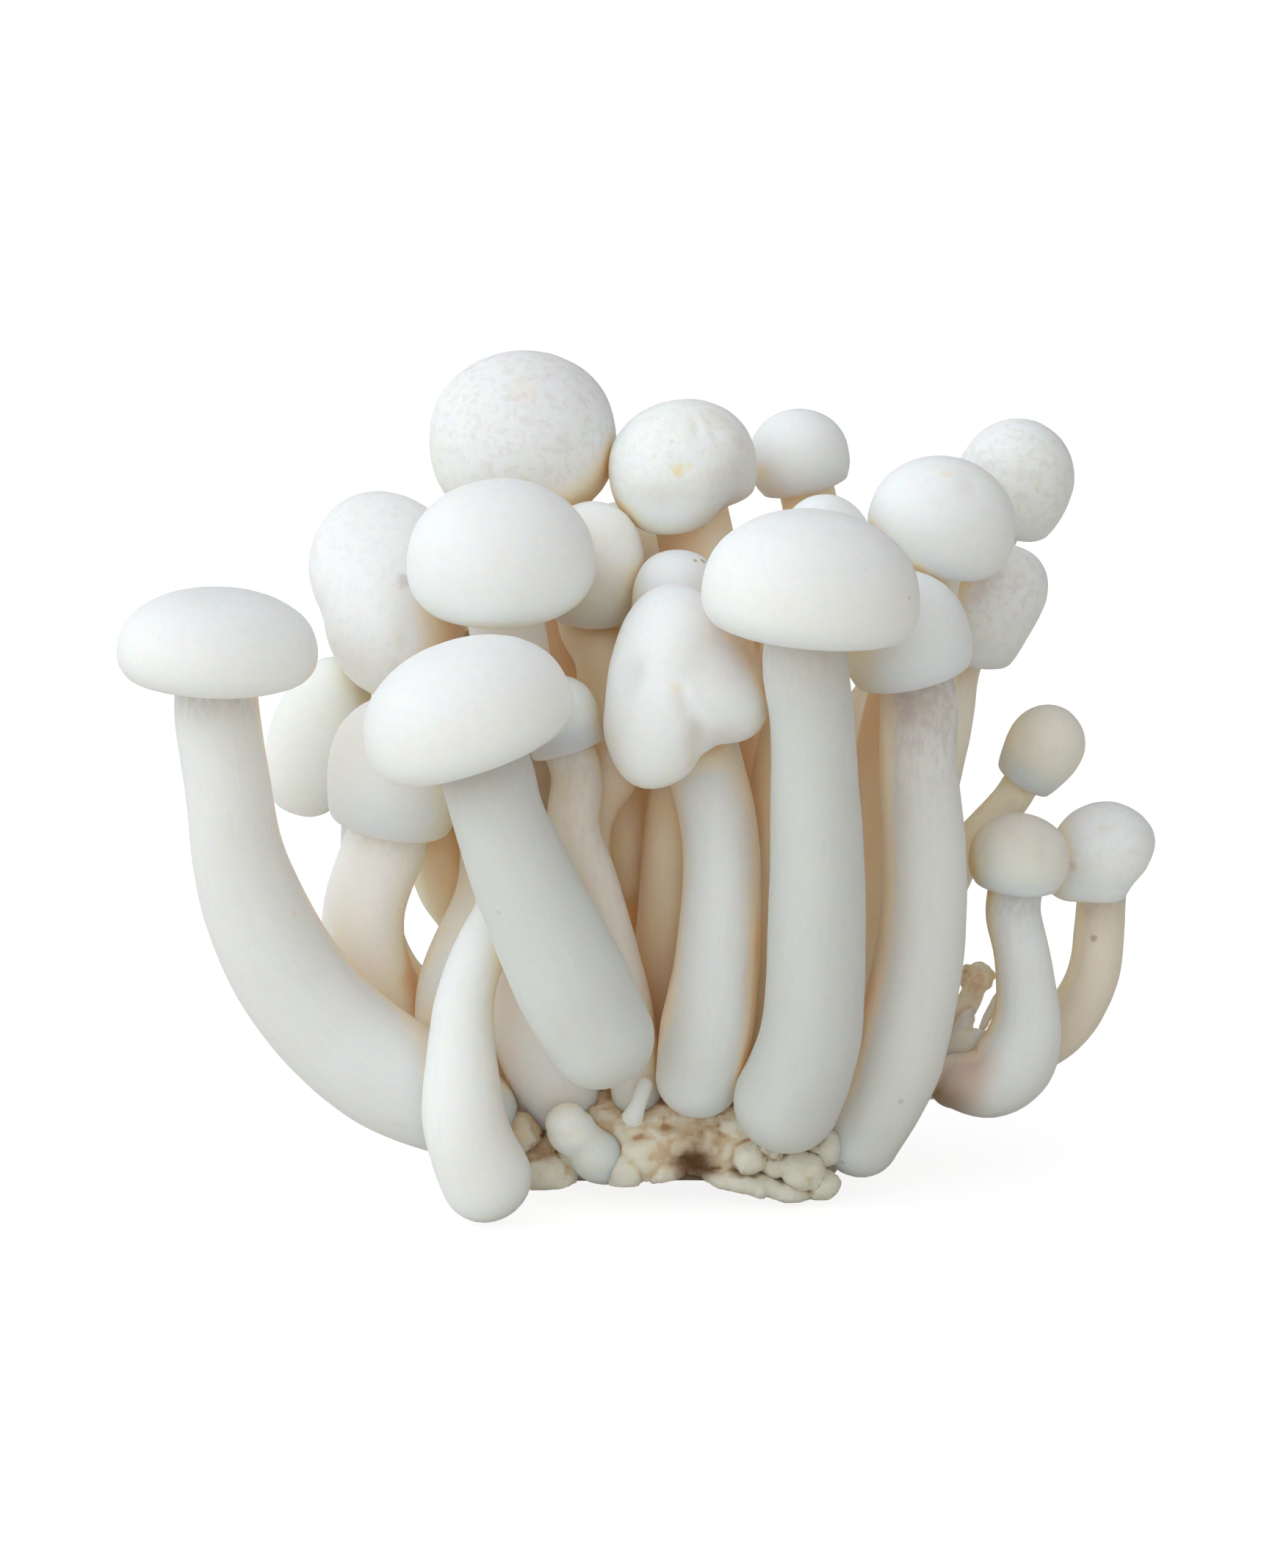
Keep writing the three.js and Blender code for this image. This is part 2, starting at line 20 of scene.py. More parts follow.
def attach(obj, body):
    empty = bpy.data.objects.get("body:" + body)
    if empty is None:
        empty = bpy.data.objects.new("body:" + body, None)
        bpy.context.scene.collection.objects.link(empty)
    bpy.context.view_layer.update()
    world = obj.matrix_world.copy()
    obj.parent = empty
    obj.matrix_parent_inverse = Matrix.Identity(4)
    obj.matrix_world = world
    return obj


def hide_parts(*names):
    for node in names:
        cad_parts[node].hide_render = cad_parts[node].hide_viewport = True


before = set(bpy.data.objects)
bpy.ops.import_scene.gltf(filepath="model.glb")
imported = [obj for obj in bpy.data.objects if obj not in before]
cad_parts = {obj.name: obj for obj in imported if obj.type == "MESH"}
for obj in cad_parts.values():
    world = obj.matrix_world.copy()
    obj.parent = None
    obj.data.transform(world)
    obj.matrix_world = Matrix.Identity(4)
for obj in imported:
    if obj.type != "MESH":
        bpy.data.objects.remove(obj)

MM = 0.001
LOG = logging.getLogger("shimeji_bunch")
Colour = tuple[float, float, float]
Place = tuple[float, float, float]


class Slot(Enum):
    """The record's material slots."""

    CAP = "cap"
    STEM = "stem"
    BUD = "bud"
    BASE = "base"


# ---------------------------------------------------------------------------------------------- tools


def smoothstep(low: float, high: float, value: np.ndarray) -> np.ndarray:
    """Rises smoothly from 0 to 1.

    Args:
        low: where the rise starts.
        high: where it ends.
        value: the numbers to map.

    Returns:
        The share, 0 below low and 1 above high.
    """
    t = np.clip((value - low) / (high - low), 0, 1)
    return t * t * (3 - 2 * t)


def natural_spline(knots: np.ndarray, values: np.ndarray, at: np.ndarray) -> np.ndarray:
    """Runs a smooth curve through values that are known at a few knots.

    Args:
        knots: rising positions of the known values.
        values: what is known there, with one row for each knot.
        at: the positions wanted.

    Returns:
        The curve's values, with one row for each wanted position.
    """
    count = len(knots)
    gaps = np.diff(knots)
    flat = values.reshape(count, -1)
    slopes = np.diff(flat, axis=0) / gaps[:, None]
    system = np.eye(count)
    right = np.zeros_like(flat)
    for i in range(1, count - 1):
        system[i, i - 1 : i + 2] = gaps[i - 1], 2 * (gaps[i - 1] + gaps[i]), gaps[i]
        right[i] = 6 * (slopes[i] - slopes[i - 1])
    bend = np.linalg.solve(system, right)
    k = np.clip(np.searchsorted(knots, at, side="right") - 1, 0, count - 2)
    past = (at - knots[k])[:, None]
    left = (knots[k + 1] - at)[:, None]
    gap = gaps[k][:, None]
    out = (bend[k] * left**3 + bend[k + 1] * past**3) / (6 * gap)
    out += (flat[k] / gap - bend[k] * gap / 6) * left + (flat[k + 1] / gap - bend[k + 1] * gap / 6) * past
    return out.reshape(len(at), *values.shape[1:])


def round_spline(angles: np.ndarray, values: np.ndarray, at: np.ndarray) -> np.ndarray:
    """Runs a smooth closed curve through values that are known at a few angles.

    Args:
        angles: angles of the known values, in radians, in any order.
        values: what is known there, with one row for each angle.
        at: the angles wanted.

    Returns:
        The values at the wanted angles.
    """
    order = np.argsort(angles)
    angles, values = angles[order], values[order]
    reach = 4
    knots = np.concatenate([angles[-reach:] - math.tau, angles, angles[:reach] + math.tau])
    wide = np.concatenate([values[-reach:], values, values[:reach]])
    return natural_spline(knots, wide, np.mod(at + math.pi, math.tau) - math.pi)


def unit(vectors: np.ndarray) -> np.ndarray:
    """Gives vectors a length of 1."""
    return vectors / np.maximum(np.linalg.norm(vectors, axis=-1, keepdims=True), 1e-12)


def lengths_along(points: np.ndarray) -> np.ndarray:
    """Measures how far along a line each of its points lies."""
    return np.concatenate([[0], np.cumsum(np.linalg.norm(np.diff(points, axis=0), axis=1))])


def placed(name: str, data: bpy.types.ID) -> bpy.types.Object:
    """Makes an object and puts it in the scene.

    Args:
        name: the object's name.
        data: its mesh, camera or lamp.

    Returns:
        The object.
    """
    thing = bpy.data.objects.new(name, data)
    bpy.context.scene.collection.objects.link(thing)
    return thing


class Grain:
    """Smooth seeded noise in space, for lumps and waviness in the meshes themselves."""

    GAIN = 1.6

    def __init__(self, seed: int) -> None:
        """Draws the noise's gradients.

        Args:
            seed: which noise, since the same seed gives the same one.
        """
        source = np.random.default_rng(seed)
        self.order = np.tile(source.permutation(256), 2)
        self.gradients = unit(source.normal(size=(256, 3)))

    def __call__(self, points: np.ndarray, size: float) -> np.ndarray:
        """Samples the noise.

        Args:
            points: places, in any unit.
            size: how large a lump is, in the same unit.

        Returns:
            One number a place, roughly between -1 and 1.
        """
        where = points / size
        cell = np.floor(where).astype(int)
        part = where - cell
        ease = part**3 * (part * (6 * part - 15) + 10)
        total = np.zeros(points.shape[:-1])
        for corner in np.ndindex(2, 2, 2):
            x, y, z = np.moveaxis((cell + corner) % 256, -1, 0)
            gradient = self.gradients[self.order[self.order[self.order[x] + y] + z]]
            weight = np.prod(np.where(corner, ease, 1 - ease), axis=-1)
            total += weight * np.sum(gradient * (part - corner), axis=-1)
        return self.GAIN * total


class Daylight:
    """How much of the sky each place on the bunch sees, so that painted shade can be laid where the flesh is
    crowded.

    RAYS is how many ways are tried, REACH how far each is followed and LIFT how far off the skin it starts,
    the last two in millimetres.
    """

    RAYS = 28
    REACH = 45.0
    LIFT = 0.7

    def __init__(self) -> None:
        """Gathers every solid of the frame into one tree to cast rays at."""
        corners: list[tuple[float, ...]] = []
        faces: list[list[int]] = []
        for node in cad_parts.values():
            first = len(corners)
            corners.extend(tuple(v.co / MM) for v in node.data.vertices)
            faces.extend([first + i for i in face.vertices] for face in node.data.polygons)
        self.tree = BVHTree.FromPolygons(corners, faces)
        k = np.arange(self.RAYS) + 0.5
        rise = np.sqrt(1 - k / self.RAYS)
        turn = k * math.pi * (1 + 5**0.5)
        flat = np.sqrt(1 - rise**2)
        self.rays = np.stack([flat * np.cos(turn), flat * np.sin(turn), rise], axis=-1)

    def seen(self, points: np.ndarray, normals: np.ndarray) -> np.ndarray:
        """Casts the rays.

        Args:
            points: places on the bunch, in millimetres.
            normals: the directions that the skin faces there.

        Returns:
            The share of rays that get away at each place.
        """
        side = unit(np.cross(normals, np.where(np.abs(normals[:, :1]) < 0.8, [[1.0, 0, 0]], [[0, 1.0, 0]])))
        other = np.cross(normals, side)
        start = points + self.LIFT * normals
        free = np.zeros(len(points))
        for x, y, z in self.rays:
            ways = x * side + y * other + z * normals
            for i, (place, way) in enumerate(zip(start, ways)):
                if self.tree.ray_cast(Vector(place), Vector(way), self.REACH)[0] is None:
                    free[i] += 1
        return free / self.RAYS


@dataclass
class RingBody:
    """A solid of the frame, read back as two poles and the rings between them, in millimetres."""

    start: np.ndarray
    end: np.ndarray
    rings: list[np.ndarray]

    @classmethod
    def read(cls, node: str) -> "RingBody":
        """Finds the rings by walking the solid's edges away from its lower pole.

        Args:
            node: the name of a cap, stem or bud in the frame.

        Returns:
            The poles and rings, from the lower pole up.
        """
        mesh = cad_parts[node].data
        corners = np.array([v.co for v in mesh.vertices]) / MM
        places, merged = np.unique(np.round(corners, 3), axis=0, return_inverse=True)
        merged = merged.reshape(-1)
        faces = np.array([[merged[i] for i in face.vertices] for face in mesh.polygons])
        poles = np.argsort(np.bincount(faces.reshape(-1)))[-2:]
        first, last = sorted(poles, key=lambda i: places[i, 2])
        near: dict[int, set[int]] = {}
        for face in faces:
            for i in face:
                near.setdefault(int(i), set()).update(int(j) for j in face)
        found = {int(first)}
        ring = found
        rings = []
        while True:
            ring = set().union(*(near[i] for i in ring)) - found
            if not ring or int(last) in ring:
                break
            rings.append(places[sorted(ring)])
            found |= ring
        return cls(places[first], places[last], rings)


@dataclass
class Skin:
    """A closed surface of rows round an axis, with a pole at each end, in millimetres."""

    points: np.ndarray
    poles: tuple[np.ndarray, np.ndarray]
    layers: dict[str, np.ndarray] = field(default_factory=dict)

    def normals(self) -> np.ndarray:
        """Finds the way that the surface faces.

        Returns:
            The outward direction at every point of the rows.
        """
        across = np.roll(self.points, -1, axis=1) - np.roll(self.points, 1, axis=1)
        low, high = (np.broadcast_to(pole, (1, *self.points.shape[1:])) for pole in self.poles)
        column = np.concatenate([low, self.points, high])
        return unit(np.cross(across, column[2:] - column[:-2]))

    def shade(self, daylight: Daylight, rows: int, columns: int) -> None:
        """Stores how open each point lies, measured on a coarse net and eased over the rest.

        Args:
            daylight: the probe.
            rows: about how many rows of the net.
            columns: how many columns of the net.
        """
        high, wide = self.points.shape[:2]
        pick_rows = np.unique(np.linspace(0, high - 1, rows).round().astype(int))
        pick_columns = np.unique(np.linspace(0, wide, columns, endpoint=False).round().astype(int))
        net = np.ix_(pick_rows, pick_columns)
        place = self.points[net].reshape(-1, 3)
        facing = self.normals()[net].reshape(-1, 3)
        seen = daylight.seen(place, facing).reshape(len(pick_rows), len(pick_columns))
        knots = np.append(pick_columns, wide)
        seen = np.concatenate([seen, seen[:, :1]], axis=1)
        full = np.array([np.interp(np.arange(wide), knots, row) for row in seen])
        full = np.array([np.interp(np.arange(high), pick_rows, line) for line in full.T]).T
        self.layers["open"] = full

    def mesh(self, name: str) -> bpy.types.Object:
        """Makes the surface an object.

        Args:
            name: the object's name.

        Returns:
            A smooth closed mesh object in metres, with the layers as attributes.
        """
        rows, columns = self.points.shape[:2]
        count = rows * columns
        co = np.concatenate([self.points.reshape(-1, 3), self.poles[0][None], self.poles[1][None]]) * MM
        i, j = np.meshgrid(np.arange(rows - 1), np.arange(columns), indexing="ij")
        k = (j + 1) % columns
        quads = np.stack([i * columns + j, i * columns + k, (i + 1) * columns + k, (i + 1) * columns + j], -1)
        j = np.arange(columns)
        k = (j + 1) % columns
        low = np.stack([k, j, np.full(columns, count)], -1)
        top = (rows - 1) * columns
        high = np.stack([top + j, top + k, np.full(columns, count + 1)], -1)
        loops = np.concatenate([quads.reshape(-1), low.reshape(-1), high.reshape(-1)])
        sizes = np.concatenate([np.full(quads.size // 4, 4), np.full(2 * columns, 3)])
        mesh = bpy.data.meshes.new(name)
        mesh.vertices.add(len(co))
        mesh.vertices.foreach_set("co", co.astype(np.float32).reshape(-1))
        mesh.loops.add(len(loops))
        mesh.loops.foreach_set("vertex_index", loops.astype(np.int32))
        mesh.polygons.add(len(sizes))
        mesh.polygons.foreach_set("loop_start", np.concatenate([[0], np.cumsum(sizes)[:-1]]).astype(np.int32))
        mesh.polygons.foreach_set("use_smooth", np.ones(len(sizes), bool))
        mesh.update(calc_edges=True)
        for layer, values in self.layers.items():
            ends = [values[0].mean(axis=0), values[-1].mean(axis=0)]
            depth = values.shape[2:]
            full = np.concatenate([values.reshape(count, *depth), np.array(ends).reshape(2, *depth)])
            store(mesh, layer, full)
        return placed(name, mesh)


def store(mesh: bpy.types.Mesh, layer: str, values: np.ndarray) -> None:
    """Stores numbers or vectors on a mesh's points.

    Args:
        mesh: the mesh.
        layer: the attribute's name.
        values: one number, or one vector of three, for each point.
    """
    kind, key = ("FLOAT", "value") if values.ndim == 1 else ("FLOAT_VECTOR", "vector")
    attribute = mesh.attributes.new(layer, kind, "POINT")
    attribute.data.foreach_set(key, values.astype(np.float32).reshape(-1))


# ------------------------------------------------------------------------------------------- finishes


class Graph:
    """A short way to wire the nodes of a material or of the world."""

    def __init__(self, owner: bpy.types.ID) -> None:
        """Clears the nodes, apart from a new output.

        Args:
            owner: the material or the world.
        """
        owner.use_nodes = True
        self.owner = owner
        self.tree = owner.node_tree
        self.tree.nodes.clear()
        self.output = self.add("OutputWorld" if isinstance(owner, bpy.types.World) else "OutputMaterial")

    def add(self, kind: str, wires: dict | None = None, **settings: object) -> bpy.types.Node:
        """Adds a node.

        Args:
            kind: the node's type, without ShaderNode.
            wires: what goes into each input, a value or another node's output.
            settings: the node's own properties.

        Returns:
            The node.
        """
        node = self.tree.nodes.new("ShaderNode" + kind)
        for key, value in settings.items():
            setattr(node, key, value)
        for key, value in (wires or {}).items():
            if isinstance(value, bpy.types.NodeSocket):
                self.tree.links.new(value, node.inputs[key])
            else:
                node.inputs[key].default_value = value
        return node

    def layer(self, name: str, output: str = "Fac") -> bpy.types.NodeSocket:
        """Reads a mesh attribute."""
        return self.add("Attribute", attribute_name=name).outputs[output]

    def close(self, shader: bpy.types.Node) -> bpy.types.ID:
        """Wires the last shader to the output, and gives back the material or the world."""
        self.tree.links.new(shader.outputs[0], self.output.inputs[0])
        return self.owner

    def math(self, operation: str, a: object, b: object = 0.0) -> bpy.types.NodeSocket:
        """Joins two numbers."""
        return self.add("Math", {0: a, 1: b}, operation=operation).outputs[0]

    def ramp(self, value: object, low: float, high: float, first: float = 0.0, last: float = 1.0) -> object:
        """Maps a number smoothly from low..high to first..last."""
        wires = {"Value": value, "From Min": low, "From Max": high, "To Min": first, "To Max": last}
        return self.add("MapRange", wires, interpolation_type="SMOOTHSTEP").outputs[0]

    def blend(self, share: object, a: object, b: object, how: str = "MIX") -> bpy.types.NodeSocket:
        """Mixes two colours.

        Args:
            share: how much of b.
            a: a colour or an output.
            b: a colour or an output.
            how: the blend type.

        Returns:
            The mixed colour.
        """
        node = self.add("Mix", data_type="RGBA", blend_type=how, clamp_result=True)
        for key, value in ((0, share), (6, a), (7, b)):
            if isinstance(value, bpy.types.NodeSocket):
                self.tree.links.new(value, node.inputs[key])
            else:
                node.inputs[key].default_value = (*value, 1) if key else value
        return node.outputs[2]

    def noise(self, where: object, scale: float, detail: float = 2.0, rough: float = 0.5) -> object:
        """Samples soft noise."""
        wires = {"Vector": where, "Scale": scale, "Detail": detail, "Roughness": rough}
        return self.add("TexNoise", wires).outputs[0]

    def stretched(self, where: object, scale: Place) -> bpy.types.NodeSocket:
        """Scales coordinates differently along each axis."""
        return self.add("VectorMath", {0: where, 1: scale}, operation="MULTIPLY").outputs[0]

    def millimetres(self) -> bpy.types.NodeSocket:
        """Gives the place on the bunch in millimetres."""
        where = self.add("TexCoord").outputs["Object"]
        return self.add("VectorMath", {0: where, "Scale": 1 / MM}, operation="SCALE").outputs[0]


@dataclass(frozen=True)
class Spot:
    """A coloured mark on a piece, such as a speck or a scar.

    at is its middle and size its reach, in millimetres, strength how much of the colour below it covers, and
    ragged how far its edge wanders, as a share of its size.
    """

    at: Place
    size: float
    colour: Colour
    strength: float = 0.8
    ragged: float = 1.0

    GRAIN = 2.2
    CORE = 0.35

    def paint(self, graph: Graph, under: object, where: object) -> bpy.types.NodeSocket:
        """Paints the mark over a colour.

        Args:
            graph: the material's graph.
            under: the colour so far.
            where: the place in millimetres.

        Returns:
            The colour with the mark.
        """
        away = graph.add("VectorMath", {0: where, 1: self.at}, operation="DISTANCE").outputs["Value"]
        ragged = graph.noise(where, self.GRAIN / self.size)
        jag = self.ragged * self.size
        away = graph.math("ADD", away, graph.math("MULTIPLY", graph.math("SUBTRACT", ragged, 0.5), jag))
        share = graph.ramp(away, self.size, self.CORE * jag, 0.0, self.strength)
        return graph.blend(share, under, self.colour)


@dataclass(frozen=True)
class Flesh:
    """Mushroom flesh: pale and slightly see-through, with painted shade in tan where it is crowded.

    crowd is the share of open sky below which a place counts as crowded, glow how much of the light passes
    through the flesh, and relief the height of its finest bumps in millimetres. WARM_FULL, DEEP_START and
    DEEP_FULL are the shares of crowd between which the two painted shade tints set in; they stand in for the
    light and shade of the crevices, not for a colour of the flesh.
    """

    pale: Colour
    watery: Colour
    # Painted shade: the next two tints are laid where the flesh sees little sky, in place of the light and
    # shade of the crevices.
    painted_shade_warm: Colour = (0.99, 0.86, 0.69)
    painted_shade_deep: Colour = (0.995, 0.71, 0.46)
    crowd: float = 0.42
    roughness: float = 0.52
    glow: float = 0.85
    relief: float = 0.06

    WARM_FULL = 0.31
    DEEP_START = 0.45
    DEEP_FULL = 0.07
    SHEEN = 0.32
    SCATTER = (1.0, 0.55, 0.3)
    SCATTER_REACH = 8.0

    def paint(self, graph: Graph, where: object) -> tuple[object, object]:
        """Lays out the flesh's own colour and relief.

        Args:
            graph: the material's graph.
            where: the place in millimetres.

        Returns:
            The colour and the height of the relief.
        """
        raise NotImplementedError

    def material(self, name: str, spots: tuple[Spot, ...] = ()) -> bpy.types.Material:
        """Makes the finish of one piece.

        Args:
            name: the material's name.
            spots: the piece's own marks.

        Returns:
            The material.
        """
        graph = Graph(bpy.data.materials.new(name))
        where = graph.millimetres()
        colour, height = self.paint(graph, where)
        for spot in spots:
            colour = spot.paint(graph, colour, where)
        # Painted shade: where little sky is seen, the colour is pushed towards the crevice tints, first the
        # lighter one and then the darker one.
        seen = graph.layer("open")
        crowded = graph.ramp(seen, self.crowd, self.WARM_FULL * self.crowd)
        colour = graph.blend(crowded, colour, self.painted_shade_warm)
        buried = graph.ramp(seen, self.DEEP_START * self.crowd, self.DEEP_FULL * self.crowd)
        colour = graph.blend(buried, colour, self.painted_shade_deep)
        bump = graph.add("Bump", {"Height": height, "Strength": 1.0, "Distance": self.relief * MM})
        wires = {
            "Base Color": colour,
            "Roughness": self.roughness,
            "Specular IOR Level": self.SHEEN,
            "Subsurface Weight": self.glow,
            "Subsurface Radius": self.SCATTER,
            "Subsurface Scale": self.SCATTER_REACH * MM,
            "Normal": bump.outputs[0],
        }
        return graph.close(graph.add("BsdfPrincipled", wires, subsurface_method="RANDOM_WALK"))


@dataclass(frozen=True)
class CapSkin(Flesh):
    """Matt cap skin, faintly marbled, with creamier gills, painted groove shade and painted light low on the
    dome.
    """

    pale: Colour = (0.83, 0.86, 0.865)
    watery: Colour = (0.77, 0.77, 0.745)
    relief: float = 0.1
    # Partly painted shade: the gills' own cream colour, laid more fully in the grooves between them.
    gill: Colour = (0.9, 0.82, 0.68)
    # Painted light: the bright cream of the margin line, in place of light shining through the thin edge.
    edge: Colour = (1.0, 0.965, 0.87)
    pit: Colour = (0.69, 0.695, 0.67)
    # Painted light: the brighter cream laid on the lower dome, as if lit through the thin flesh.
    painted_skirt_glow: Colour = (1.0, 0.955, 0.87)
    marbling: float = 0.3
    pitted: float = 0.0

    PAINTED_SKIRT_SHARE = 0.65
    PAINTED_RIM_GLOW_SHARE = 0.95
    PIT_DEPTH = 1.6

    def paint(self, graph: Graph, where: object) -> tuple[object, object]:
        """Lays out the marbled skin with its pits and gills, painted groove shade and painted light at the
        margin.

        Args:
            graph: the material's graph.
            where: the place in millimetres.

        Returns:
            The colour and the height of the relief.
        """
        cloud = graph.noise(where, 0.22, 2, 0.55)
        marble = graph.ramp(graph.noise(where, 0.75, 4, 0.62), 0.47, 0.66, 0, self.marbling)
        marble = graph.math("MULTIPLY", marble, graph.ramp(cloud, 0.35, 0.65, 0.35, 1))
        colour = graph.blend(marble, self.pale, self.watery)
        fine = graph.noise(where, 3.4, 3, 0.6)
        colour = graph.blend(graph.ramp(fine, 0.35, 0.75, 0, 0.12), colour, self.watery)
        pits = graph.ramp(graph.noise(where, 1.0, 4, 0.66), 0.48, 0.66, 0, self.pitted)
        colour = graph.blend(pits, colour, self.pit)
        # The gills' cream colour plus painted shade: the mask is fuller in the grooves than on the gill
        # edges.
        colour = graph.blend(graph.layer("gill"), colour, self.gill)
        # Painted light: the lower dome is made brighter and creamier towards the margin.
        lower = graph.math("MULTIPLY", graph.layer("painted_skirt_glow"), self.PAINTED_SKIRT_SHARE)
        colour = graph.blend(lower, colour, self.painted_skirt_glow)
        # Painted light: a bright cream line along the margin, standing for light shining through the thin
        # edge.
        painted_rim_glow = graph.math("MULTIPLY", graph.layer("painted_rim_glow"), self.PAINTED_RIM_GLOW_SHARE)
        colour = graph.blend(painted_rim_glow, colour, self.edge)
        height = graph.math("ADD", graph.math("MULTIPLY", fine, 0.35), graph.noise(where, 1.1, 3, 0.5))
        return colour, graph.math("SUBTRACT", height, graph.math("MULTIPLY", pits, self.PIT_DEPTH))


@dataclass(frozen=True)
class StemFlesh(Flesh):
    """The silky flesh of a stem, with fibres along it and a downy neck under the cap."""

    # Partly painted shade: the stem flesh is set a little darker than the caps' to stand for the shade under
    # the caps.
    pale: Colour = (0.77, 0.81, 0.81)
    watery: Colour = (0.69, 0.69, 0.66)
    down: Colour = (0.56, 0.55, 0.53)
    downy: float = 0.55

    THREAD_HEIGHT = 0.4
    FUZZ_HEIGHT = 1.5

    def paint(self, graph: Graph, where: object) -> tuple[object, object]:
        """Lays out the fibres and the down.

        Args:
            graph: the material's graph.
            where: the place in millimetres.

        Returns:
            The colour and the height of the relief.
        """
        grain = graph.layer("grain", "Vector")
        fibre = graph.noise(graph.stretched(grain, (1.5, 1.5, 0.16)), 1.0, 4, 0.6)
        thread = graph.noise(graph.stretched(grain, (4.2, 4.2, 0.3)), 1.0, 2, 0.5)
        patch = graph.noise(where, 0.3, 3, 0.6)
        share = graph.math("MULTIPLY", graph.ramp(fibre, 0.4, 0.7), graph.ramp(patch, 0.35, 0.7, 0.05, 0.3))
        colour = graph.blend(share, self.pale, self.watery)
        streak = graph.noise(graph.stretched(grain, (1.5, 1.5, 0.6)), 1.0, 4, 0.68)
        fuzz = graph.math("MULTIPLY", graph.layer("neck"), graph.ramp(streak, 0.42, 0.62, 0.12, self.downy))
        colour = graph.blend(fuzz, colour, self.down)
        height = graph.math("ADD", fibre, graph.math("MULTIPLY", thread, self.THREAD_HEIGHT))
        return colour, graph.math("ADD", height, graph.math("MULTIPLY", fuzz, self.FUZZ_HEIGHT))


@dataclass(frozen=True)
class BudFlesh(Flesh):
    """The cream flesh of a young bud or pin."""

    pale: Colour = (0.94, 0.92, 0.85)
    watery: Colour = (0.92, 0.87, 0.76)
    relief: float = 0.12

    def paint(self, graph: Graph, where: object) -> tuple[object, object]:
        """Lays out the soft patches of a bud.

        Args:
            graph: the material's graph.
            where: the place in millimetres.

        Returns:
            The colour and the height of the relief.
        """
        patch = graph.noise(where, 0.5, 3, 0.6)
        colour = graph.blend(graph.ramp(patch, 0.4, 0.7), self.pale, self.watery)
        return colour, graph.noise(where, 1.6, 3, 0.6)


@dataclass(frozen=True)
class BaseCrust(Flesh):
    """The crumbly tan mycelium of the cut base, browner and darker in its hollows."""

    pale: Colour = (0.87, 0.77, 0.58)
    watery: Colour = (0.78, 0.61, 0.4)
    # Painted shade: darker brown tints laid where the base sees little sky.
    painted_shade_warm: Colour = (0.74, 0.54, 0.34)
    painted_shade_deep: Colour = (0.42, 0.25, 0.12)
    roughness: float = 0.75
    glow: float = 0.4
    relief: float = 0.3
    crust: Colour = (0.66, 0.45, 0.25)
    hollow_brown: Colour = (0.4, 0.235, 0.11)
    lump_cream: Colour = (0.94, 0.88, 0.73)

    CRUMBLE = 0.16

    def paint(self, graph: Graph, where: object) -> tuple[object, object]:
        """Lays out the crumbs, pale on the lumps and brown in the hollows.

        Args:
            graph: the material's graph.
            where: the place in millimetres.

        Returns:
            The colour and the height of the relief.
        """
        patch = graph.noise(where, 0.3, 4, 0.6)
        colour = graph.blend(graph.ramp(patch, 0.42, 0.62), self.pale, self.watery)
        crumb = graph.noise(where, 1.5, 5, 0.68)
        ragged = graph.math("ADD", graph.layer("crease"), graph.math("MULTIPLY", crumb, self.CRUMBLE))
        # Paler on the lumps, browner and darker in the hollows of the surface.
        for low, high, share, tone in (
            (0.05, -0.16, 0.9, self.lump_cream),
            (0.09, 0.26, 0.65, self.crust),
            (0.2, 0.4, 0.8, self.hollow_brown),
        ):
            colour = graph.blend(graph.ramp(ragged, low, high, 0, share), colour, tone)
        return graph.blend(graph.ramp(crumb, 0.54, 0.84, 0, 0.35), colour, self.crust), crumb


# --------------------------------------------------------------------------------------------- pieces


def settle(thing: bpy.types.Object, node: str, material: bpy.types.Material) -> None:
    """Dresses a finished piece and sets it in its solid's place on the one body.

    Args:
        thing: the piece.
        node: the solid that it stands for.
        material: the piece's finish.
    """
    thing.data.materials.append(material)
    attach(thing, "root")
    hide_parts(node)
    LOG.info("%s: %d faces", thing.name, len(thing.data.polygons))


@dataclass
class Piece:
    """A piece of the bunch: the solid that it stands for, its finish, its slot and its own marks."""

    node: str
    finish: Flesh = StemFlesh()
    slot: Slot = Slot.STEM
    spots: tuple[Spot, ...] = ()

    def build(self, daylight: Daylight) -> bpy.types.Object:
        """Builds the piece's mesh.

        Args:
            daylight: the probe for crowding.

        Returns:
            The piece's object.
        """
        raise NotImplementedError

    def dress(self, thing: bpy.types.Object) -> None:
        """Gives the piece its finish and its place on the body."""
        settle(thing, self.node, self.finish.material(self.node + "_finish", self.spots))


@dataclass(frozen=True)
class Dent:
    """A dent in a cap, or a bulge if depth is negative.

    turn is degrees round the cap's axis from the right, with -90 towards the front, rise is degrees above
    the gills' plane, depth is in millimetres and reach is how many degrees it spreads up and down. squeeze is
    its width as a share of its height, and lean how many degrees its top turns to the right.
    """

    turn: float
    rise: float
    depth: float
    reach: float
    squeeze: float = 1.0
    lean: float = 0.0

    def press(self, out: np.ndarray) -> np.ndarray:
        """Measures how far the dent goes in.

        Args:
            out: directions from the middle of the cap.

        Returns:
            Millimetres inwards at each direction.
        """
        rise, around, lean = (math.radians(angle) for angle in (self.rise, self.turn, self.lean))
        way = np.array([math.cos(rise) * math.cos(around), math.cos(rise) * math.sin(around), math.sin(rise)])
        level = unit(np.cross([0, 0, 1.0], way))
        up = np.cross(way, level)
        across = level * math.cos(lean) - up * math.sin(lean)
        up = up * math.cos(lean) + level * math.sin(lean)
        u = np.degrees(np.arctan2(out @ across, out @ way)) / (self.reach * self.squeeze)
        v = np.degrees(np.arcsin(np.clip(out @ up, -1, 1))) / self.reach
        return self.depth * np.exp(-(u**2) - v**2)


